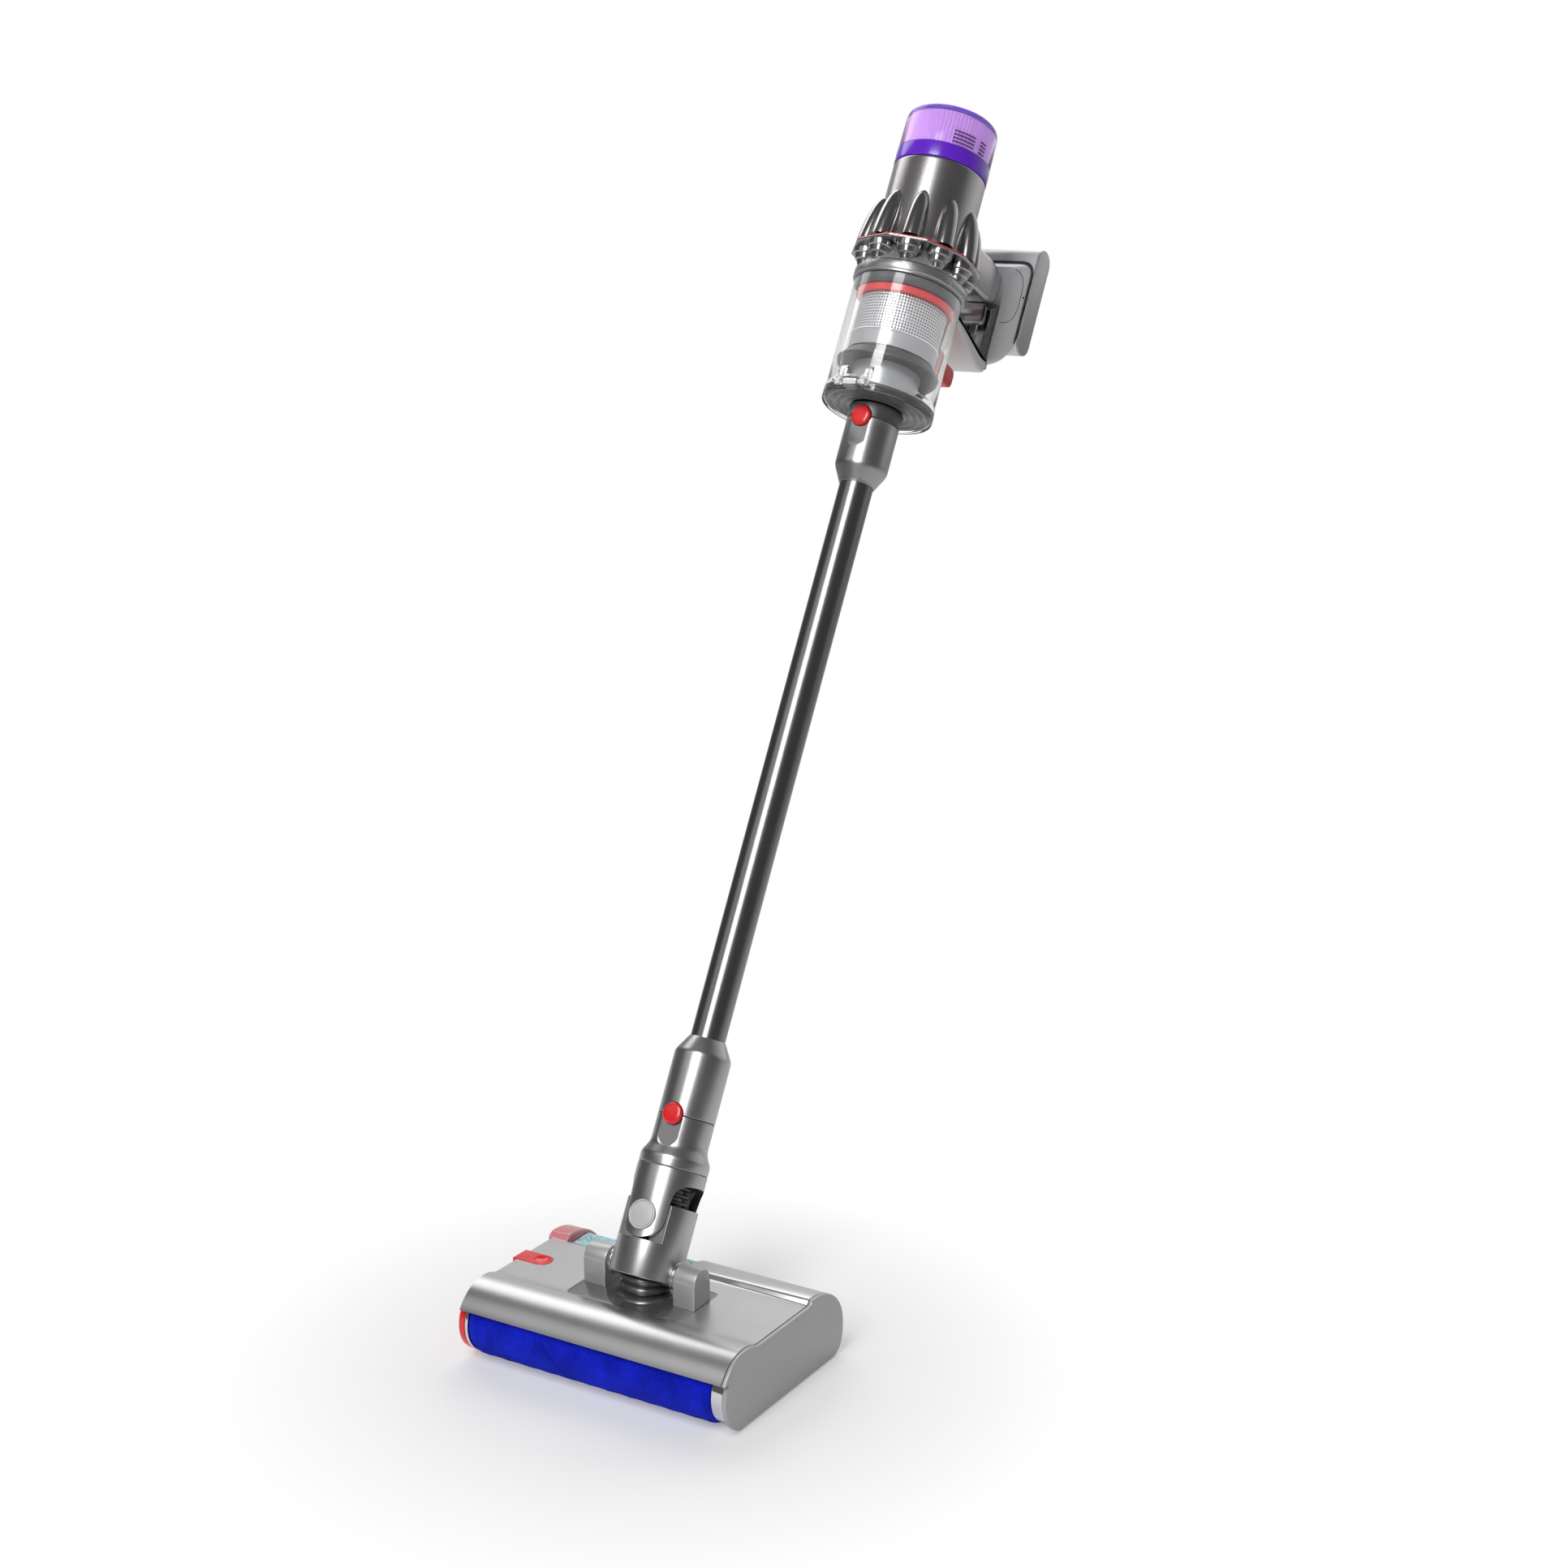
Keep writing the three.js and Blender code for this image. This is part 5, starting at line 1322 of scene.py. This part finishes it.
@dataclass
class MotorStack:
    """Cyclone cups, crown, motor housing with its pods, and the filter, in millimetres."""

    shop: Shop
    pods: int = 10
    cup_low: float = 861.3
    crown: float = 878.0
    motor: float = 883.0
    filter_low: float = 962.0
    band_top: float = 976.0
    top: float = 1012.0
    radius: float = 41.0

    def around(self, part: Surface) -> list[Surface]:
        """Repeat a part once for each pod."""
        steps = (np.arange(self.pods) + 0.5) * FULL_TURN / self.pods
        return [part.turned_about(Axis.ALONG, angle) for angle in steps]

    def polygon(self, angle: Array) -> Array:
        """Radius factor of a soft polygon whose corners lie between the pods."""
        step = FULL_TURN / self.pods
        off = np.mod(angle, step) - step / 2
        sharp = math.cos(step / 2) / np.cos(off)
        return 0.1 + 0.9 * sharp / sharp.max()

    def build(self) -> None:
        """Make every piece above the bin's collar."""
        self.cups()
        self.crown_ring()
        self.housing()
        self.filter_unit()
        self.shop.dress("suction_motor", BLACK)
        self.shop.dress("impeller", LIGHT)

    def cups(self) -> None:
        """Ring of small cyclone cups over a light cone."""
        s = self.cup_low
        top = self.crown - 0.2
        cone = hoop([(16, s), (47.8, s), (45.5, s + 3), (38, s + 12), (38, top), (16, top)],
                    [0, 0.6, 2, 3, 0, 0], 5, 132)
        self.shop.piece("cyclone_cone", cone, Space.WAND, LIGHT, "handheld")
        corners = [(0, s + 0.2), (4.4, s + 0.2), (5.2, s + 1), (7.0, s + 6.0), (8.4, s + 6.4),
                   (9.8, s + 11.2), (11.0, s + 11.6), (11.8, top), (0, top)]
        cup = turned(rounded(corners, [0, 1, 0.6, 0.3, 0.4, 0.3, 0.4, 0.5, 0], 4, closed=False), segments=40)
        self.shop.piece("cyclone_cups", joined(self.around(cup.moved((0, -43.5, 0)))), Space.WAND, NICKEL,
                        "handheld", ["cyclone_block"])

    def crown_ring(self) -> None:
        """Many-sided crown with a thin red line under its rim."""
        c = self.crown
        corners = [(30, c), (47, c + 0.2), (57.4, c - 0.6), (58.2, c + 0.8), (56.4, c + 2.2),
                   (46, c + 4.9), (30, c + 4.9)]
        section = rounded(corners, [0, 3, 0.5, 0.6, 2, 3, 0], 5)
        segments = 22 * self.pods
        rim = turned(section, ring=True, segments=segments, swell=self.polygon)
        self.shop.piece("crown", rim, Space.WAND, NICKEL, "handheld", ["crown_ring"], smooth=50)
        section = rounded([(55.6, c + 1.9), (57.3, c + 1.3), (57.6, c + 2.1), (55.9, c + 2.7)], 0.3, 4)
        line = turned(section, ring=True, segments=segments, swell=self.polygon)
        self.shop.piece("crown_red_line", line, Space.WAND, RED, "handheld")

    def housing(self) -> None:
        """Round motor housing and the bullet-shaped pods that stand round its foot.

        A pod's section is a circle whose radius falls as the square root of 1 - k to the 3.4,
        and its centre leans from outside the housing towards the wall as k goes from 0 to 1.
        """
        r, low, high = self.radius, self.motor + 0.2, self.filter_low - 0.3
        corners = [(r - 4, low), (r + 1.5, low), (r, low + 12), (r, high - 1.6), (r - 0.6, high),
                   (r - 4, high)]
        tube = hoop(corners, [0, 1, 5, 0.6, 0.5, 0], 5, 160)
        self.shop.piece("motor_skin", tube, Space.WAND, MOTOR_SKIN, "handheld", ["motor_housing"])
        k = np.sin(np.linspace(0.0, math.pi / 2, 44))
        size = 8.3 * np.sqrt(np.clip(1 - k**3.4, 0, 1))
        lean = -(r + 6.2) + 6.6 * k**1.3
        height = low - 0.4 + 46.0 * k
        angle = (np.arange(40) * FULL_TURN / 40)[None, :]
        x = size[:, None] * np.sin(angle)
        y = lean[:, None] - size[:, None] * np.cos(angle) * 0.95
        pod = grid(np.stack(np.broadcast_arrays(x, y, height[:, None]), axis=-1), False, True, caps=True)
        self.shop.piece("motor_pods", joined(self.around(pod)), Space.WAND, NICKEL, "handheld", smooth=60)

    def filter_unit(self) -> None:
        """Purple filter: solid band, slotted cage, pleats inside it and a rounded top rim."""
        r, low, mid, top = self.radius, self.filter_low, self.band_top, self.top
        corners = [(30, low), (r, low), (r + 0.3, low + 0.8), (r + 0.3, mid - 0.5), (r - 0.4, mid),
                   (30, mid)]
        band = hoop(corners, [0, 0.4, 0.5, 0.5, 0.4, 0], 4, 144)
        self.shop.piece("filter_band_ring", band, Space.WAND, PURPLE, "filter", ["filter_band"])
        corners = [(0, top - 2.4), (r - 10, top - 2.4), (r - 7, top), (r - 3, top), (r - 0.3, top - 4),
                   (r, mid + 0.2), (r - 1.8, mid + 0.2), (r - 2.2, top - 5), (r - 6, top - 4.4),
                   (0, top - 4.4)]
        section = rounded(corners, [0, 1, 1.5, 3, 6, 0.3, 0.3, 4, 1, 0], 8, closed=False)
        cage = turned(section, segments=144)
        self.shop.piece("filter_cage", cage, Space.WAND, LILAC_CLEAR, "filter", ["filter_pleats"])
        rim = hoop([(r - 6.5, top - 0.8), (r - 3, top - 0.6), (r - 1.2, top - 3), (r - 1.9, top - 4.6),
                    (r - 6.5, top - 3.6)], [0.5, 2, 1, 0.6, 0.6], 6, 144)
        self.shop.piece("filter_rim", rim, Space.WAND, PURPLE, "filter")
        slots = []
        for row in range(4):
            for index in range(11):
                mark = prism(stadium(1.25, 0.55, 4), -r - 0.25, -r + 0.6, Axis.BACK)
                angle = math.radians(36 + 3.6 * index + (8 if index > 7 else 0))
                slots.append(mark.moved((0, 0, mid + 2.6 + 3.3 * row)).turned_about(Axis.ALONG, angle))
        self.shop.piece("filter_slots", joined(slots), Space.WAND, PURPLE_DARK, "filter")
        folds = 72
        angle = np.arange(folds * 6) * FULL_TURN / (folds * 6)
        wave = 36.2 + 1.8 * np.abs(np.mod(angle * folds / FULL_TURN, 1.0) * 2 - 1)
        heights = np.array([mid + 0.4, top - 5.6])[:, None]
        x, y = wave * np.sin(angle), -wave * np.cos(angle)
        points = np.stack(np.broadcast_arrays(x[None, :], y[None, :], heights), axis=-1)
        pleats = grid(points, False, True, caps=True)
        self.shop.piece("filter_paper", pleats, Space.WAND, PLEAT, "filter", smooth=20)


# --------------------------------------------------------------------------- handle
@dataclass
class Handle:
    """Bridge, grip, strut, trigger, battery, button and bin lever, in millimetres."""

    shop: Shop
    front: float = 124.0
    rear: float = 134.0
    half: float = 18.0
    strut_low: float = 836.0
    strut_top: float = 849.0
    strut_rise: float = 16.0
    bridge_low: float = 896.0
    bridge_top: float = 933.0
    slab: float = 143.0
    slab_thick: float = 25.0
    slab_low: float = 868.0
    slab_high: float = 970.0
    boss_front: float = 127.5
    boss_deep: float = 18.0
    sensor: tuple[float, float] = (140.3, 917.0)

    def build(self) -> None:
        """Make every piece behind the motor."""
        self.frame_pieces()
        self.trigger()
        self.battery()
        self.lever()

    def frame_pieces(self) -> None:
        """Plated bridge, two-column grip and the strut under the fingers."""
        low, top = self.bridge_low, self.bridge_top
        side = rounded([(34, low), (112, low), (126, low + 6), (128, 914), (127, top), (96, top + 2),
                        (34, top - 4)], [0, 8, 8, 6, 12, 10, 0], 10)
        bridge = prism(side, -self.half, self.half, Axis.ACROSS, 6.0, 8)
        body = self.shop.solid("handle_bridge", bridge, Space.WAND)
        well = turned([(0, 700), (39.5, 700), (39.5, 1100), (0, 1100)])
        self.shop.carve(body, [well], Space.WAND)
        self.shop.finish(body, NICKEL, "handheld", ["handle_frame"], smooth=50)
        near, wide = self.front + 3.2, self.half + 1.5
        core = rounded([(-self.half, near), (self.half, near), (wide, self.rear), (-wide, self.rear)], 1.5)
        self.shop.piece("grip_core", prism(core, self.strut_low + 6, self.bridge_low + 8, Axis.ALONG, 1.0, 3),
                        Space.WAND, LIGHT, "handheld")
        columns = []
        for x in (-9.6, 9.6):
            near, far = self.front, self.front + 7
            plan = rounded([(x - 7.6, near), (x + 7.6, near), (x + 8, far), (x - 8, far)], [5, 5, 1, 1], 8)
            columns.append(prism(plan, self.strut_top - 2, self.bridge_low + 3, Axis.ALONG, 2.5, 6))
        self.shop.piece("grip_columns", joined(columns), Space.WAND, NICKEL, "handheld", smooth=50)
        low, top, rise = self.strut_low, self.strut_top, self.strut_rise
        side = rounded([(51.5, low + rise + 6), (58, low + rise + 5), (116, low + 1), (130, low + 1),
                        (134, low + 6), (134, top + 3), (120, top + 1), (52, top + rise - 1)],
                       [1, 4, 12, 5, 4, 3, 6, 1], 8)
        strut = prism(side, -self.half - 1, self.half + 1, Axis.ACROSS, 3.0, 6)
        # The strut shares the battery grey, which is partly painted light.
        self.shop.piece("finger_strut", strut, Space.WAND, BATTERY_GREY_PAINTED_LIGHT, "handheld", smooth=50)

    def trigger(self) -> None:
        """Curved trigger hanging below the bridge."""
        top = self.bridge_low - 0.4
        side = rounded([(108.6, top), (112, 887), (109.4, 878), (114, 876.4), (118.8, 878.6),
                        (118.8, top)], [0.5, 5, 2, 2, 2, 0.5], 8)
        self.shop.piece("trigger_pad", prism(side, -14.5, 14.5, Axis.ACROSS, 1.8, 6), Space.WAND, NICKEL,
                        "trigger_lever", ["trigger"], smooth=50)

    def boss_half(self, k: Array) -> Array:
        """Half width of the battery body at share k of the way from the grip to the slab."""
        return 19.5 + 15.8 * np.sin(np.clip(k, 0, 1) * math.pi / 2) ** 0.8

    def boss_lines(self) -> Surface:
        """Fine seam on each flank of the battery body, and the slot round its foot on the slab."""
        flank = bezier([(129.5, 887), (137.5, 889), (139, 905), (137.5, 926)], 30)
        over = bezier([(137.5, 926), (136.5, 936), (133.5, 939), (130, 940)], 12)[1:]
        line = np.concatenate([flank, over])
        half = self.boss_half((line[:, 0] - self.boss_front) / self.boss_deep) + 0.05
        flanks = []
        for side in (-1, 1):
            path = np.stack([side * half, line[:, 0], line[:, 1]], axis=1)
            flanks.append(thread(path, 0.28, (1, 0, 0)))
        foot = rounded([(-36.4, 866.5), (36.4, 866.5), (36.4, 954), (-36.4, 954)], 14, 10)
        return joined([*flanks, prism(foot, self.slab - 0.9, self.slab + 0.25, Axis.BACK)])

    def boss(self) -> Surface:
        """Tapered battery body.

        Each ring is a rounded box in the across and along directions. With k from 0 at the grip
        to 1 at the slab, its foot rises by k to the 2.2 and its top and half width grow by a
        quarter sine, so that the shoulder is soft.
        """
        k = np.linspace(0.0, 1.0, 24)
        half = self.boss_half(k)
        foot = 845.0 + 22.0 * k**2.2
        head = 934.0 + 18.0 * np.sin(k * math.pi / 2)
        back = self.boss_front + self.boss_deep * k
        stack = np.stack([rounded([(-w, lo), (w, lo), (w, hi), (-w, hi)], 13.0, 10)
                          for w, lo, hi in zip(half, foot, head)])
        points = Axis.BACK.place(stack[:, :, 0], stack[:, :, 1], back[:, None])
        return grid(points, False, True, caps=True)

    def battery(self) -> None:
        """Battery body, slab across the back with end plates, sensor dot and release button."""
        body = self.shop.solid("battery_body", self.boss(), Space.WAND)
        pocket = prism(stadium(10.6, 4.2), 830, 853, Axis.ALONG).moved((0, 137.5, 0))
        grip_room = block((-self.half - 2, 100, 830), (self.half + 2, self.rear + 0.3, 1000))
        self.shop.carve(body, [pocket, grip_room], Space.WAND)
        # The battery grey is partly painted light on the flanks.
        self.shop.finish(body, BATTERY_GREY_PAINTED_LIGHT, "battery", ["battery_pack"], smooth=40)
        r = self.slab_thick / 2
        side = np.concatenate([arc((self.slab + r, self.slab_high - r), r, 0, 180, 30),
                               arc((self.slab + r, self.slab_low + r), r, 180, 360, 30)])
        slab = prism(side, -36.3, 36.3, Axis.ACROSS, 0.4, 3)
        self.shop.piece("battery_slab", slab, Space.WAND, BATTERY_GREY_PAINTED_LIGHT, "battery")
        for edge, name in ((-38.0, "slab_plate_left"), (36.6, "slab_plate_right")):
            plate = prism(side, edge, edge + 1.4, Axis.ACROSS, 0.5, 4)
            self.shop.piece(name, plate, Space.WAND, SATIN, "battery")
        button = prism(stadium(10.0, 3.6), 842.6, 848.5, Axis.ALONG, 0.9, 4).moved((0, 137.5, 0))
        self.shop.piece("battery_button_red", button, Space.WAND, RED, "battery_catch", ["battery_button"])
        self.shop.piece("battery_seams", self.boss_lines(), Space.WAND, SEAM, "battery")
        dot = turned([(0, -0.6), (0.8, -0.6), (0.8, 0.6), (0, 0.6)], Axis.ACROSS, segments=24)
        back, along = self.sensor
        spot = float(self.boss_half(np.array((back - self.boss_front) / self.boss_deep)))
        self.shop.piece("sensor_dot", dot.moved((spot, back, along)), Space.WAND, BLACK, "battery")

    def lever(self) -> None:
        """Red bin release: a flat blade behind the bin and a rounded thumb piece."""
        side = rounded([(50.8, 809), (55.4, 809), (55.4, 845), (50.8, 845)], 0.6)
        blade = prism(side, -6.8, 6.8, Axis.ACROSS, 0.6, 3)
        side = rounded([(54, 812), (84, 808), (102.4, 808), (102.4, 826), (54, 826)], [1, 8, 7, 7, 1], 8)
        knob = prism(side, -7, 7, Axis.ACROSS, 1.8, 6)
        self.shop.piece("bin_lever_red", joined([blade, knob]), Space.WAND, RED, "bin_catch",
                        ["bin_lever"], smooth=50)


# --------------------------------------------------------------------------- studio
@dataclass
class Studio:
    """Camera, floor, world and soft lights."""

    shop: Shop
    azimuth: float = 31.33
    elevation: float = 14.55
    lens: float = 58.9
    room_dim: float = 0.10
    room_light: float = 0.85
    floor_glow: float = 0.30
    place: tuple[float, float, float] = (1.0737, -1.5526, 0.9673)

    def build(self) -> None:
        """Set up the whole studio."""
        self.camera()
        self.floor()
        self.world()
        self.lights()
        bpy.context.scene.view_settings.view_transform = "Standard"

    def camera(self) -> None:
        """Camera that looks a little down on the object from its front right."""
        data = bpy.data.cameras.new("camera")
        data.lens, data.sensor_width = self.lens, 36.0
        data.clip_start, data.clip_end = 0.05, 60.0
        camera = bpy.data.objects.new("camera", data)
        bpy.context.scene.collection.objects.link(camera)
        a, e = math.radians(self.azimuth), math.radians(self.elevation)
        back = Vector((math.sin(a) * math.cos(e), -math.cos(a) * math.cos(e), math.sin(e)))
        camera.rotation_mode = "QUATERNION"
        camera.rotation_quaternion = (-back).to_track_quat("-Z", "Y")
        camera.location = self.place
        bpy.context.scene.camera = camera

    def floor(self) -> None:
        """Wide white floor that fades into the backdrop away from the head."""
        size = 14000.0
        plane = block((-size, -size, -20.0), (size, size, 0.0))
        floor = self.shop.solid("studio_floor", plane, Space.HEAD)
        material, sketch, shader = new_material("studio_floor")
        shader.inputs["Base Color"].default_value = (0.9, 0.9, 0.9, 1.0)
        shader.inputs["Roughness"].default_value = 0.6
        glow = sketch.add("ShaderNodeEmission", {"Color": (1.0, 1.0, 1.0, 1.0), "Strength": 1.0})
        where = sketch.add("ShaderNodeTexCoord").outputs["Object"]
        flat = sketch.add("ShaderNodeVectorMath", {0: where, 1: (1.0, 1.0, 0.0)}, operation="MULTIPLY")
        reach = sketch.add("ShaderNodeVectorMath", {0: flat.outputs[0]}, operation="LENGTH")
        fade = sketch.ramp(reach.outputs["Value"], 0.16, 0.34, self.floor_glow, 1.0)
        rays = sketch.add("ShaderNodeLightPath")
        seen = sketch.math("MAXIMUM", rays.outputs["Is Camera Ray"], rays.outputs["Is Transmission Ray"])
        share = sketch.math("MULTIPLY", fade, seen)
        mix = sketch.add("ShaderNodeMixShader", {0: share, 1: shader.outputs[0], 2: glow.outputs[0]})
        output = material.node_tree.nodes["Material Output"]
        sketch.tree.links.new(mix.outputs[0], output.inputs["Surface"])
        floor.data.materials.append(material)

    def world(self) -> None:
        """White backdrop, and a dim room for reflections that is lighter behind the object."""
        world = bpy.data.worlds.new("studio_world")
        bpy.context.scene.world = world
        world.use_nodes = True
        sketch = Sketch(world.node_tree)
        shader = world.node_tree.nodes["Background"]
        way = sketch.add("ShaderNodeTexCoord").outputs["Generated"]
        split = sketch.add("ShaderNodeSeparateXYZ", {0: way})
        behind = sketch.ramp(split.outputs[1], 0.3, 1.0, self.room_dim, self.room_light)
        rays = sketch.add("ShaderNodeLightPath")
        seen = sketch.math("MAXIMUM", rays.outputs["Is Camera Ray"], rays.outputs["Is Transmission Ray"])
        level = sketch.add("ShaderNodeMix", {0: seen, 2: behind, 3: 1.0}, data_type="FLOAT")
        sketch.tree.links.new(level.outputs[0], shader.inputs["Strength"])
        shader.inputs["Color"].default_value = (1.0, 1.0, 1.0, 1.0)

    def lamp(self, name: str, place: Sequence[float], aim: Sequence[float], size: tuple[float, float],
             power: float) -> None:
        """Add one rectangular area light.

        Args:
            name: its name.
            place: where it hangs, in metres.
            aim: the point it faces.
            size: its width and height.
            power: watts.
        """
        data = bpy.data.lights.new(name, "AREA")
        data.shape, data.size, data.size_y, data.energy = "RECTANGLE", size[0], size[1], power
        lamp = bpy.data.objects.new(name, data)
        bpy.context.scene.collection.objects.link(lamp)
        lamp.location = place
        way = Vector(aim) - Vector(place)
        lamp.rotation_mode = "QUATERNION"
        lamp.rotation_quaternion = way.to_track_quat("-Z", "Y")

    def aimed(self, azimuth: float, elevation: float, distance: float,
              middle: Sequence[float] = (0.0, 0.2, 0.45)) -> tuple[Sequence[float], Sequence[float]]:
        """Return a place in the given direction from the middle of the object, and that middle."""
        a, e = math.radians(azimuth), math.radians(elevation)
        way = np.array([math.sin(a) * math.cos(e), -math.cos(a) * math.cos(e), math.sin(e)])
        return tuple(np.asarray(middle) + way * distance), middle

    def lights(self) -> None:
        """A tall strip in front, a soft box overhead and behind, and a weak fill at the left."""
        self.lamp("front_strip", *self.aimed(6.0, 41.0, 2.8), (1.0, 2.2), 60.0)
        self.lamp("top_box", *self.aimed(222.0, 48.0, 2.6, (0.0, 0.0, 0.05)), (2.4, 1.1), 17.0)
        self.lamp("left_fill", *self.aimed(-40.0, 36.0, 3.0), (1.3, 1.6), 3.2)


def main() -> None:
    """Build the sub-assemblies in order."""
    logging.basicConfig(level=logging.INFO, format="%(name)s: %(message)s")
    shop = Shop()
    Studio(shop).build()
    for assembly in (FloorHead(shop), Neck(shop), Wand(shop), DustBin(shop), MotorStack(shop), Handle(shop)):
        LOG.info("building %s", type(assembly).__name__)
        assembly.build()


if __name__ == "__main__":
    main()
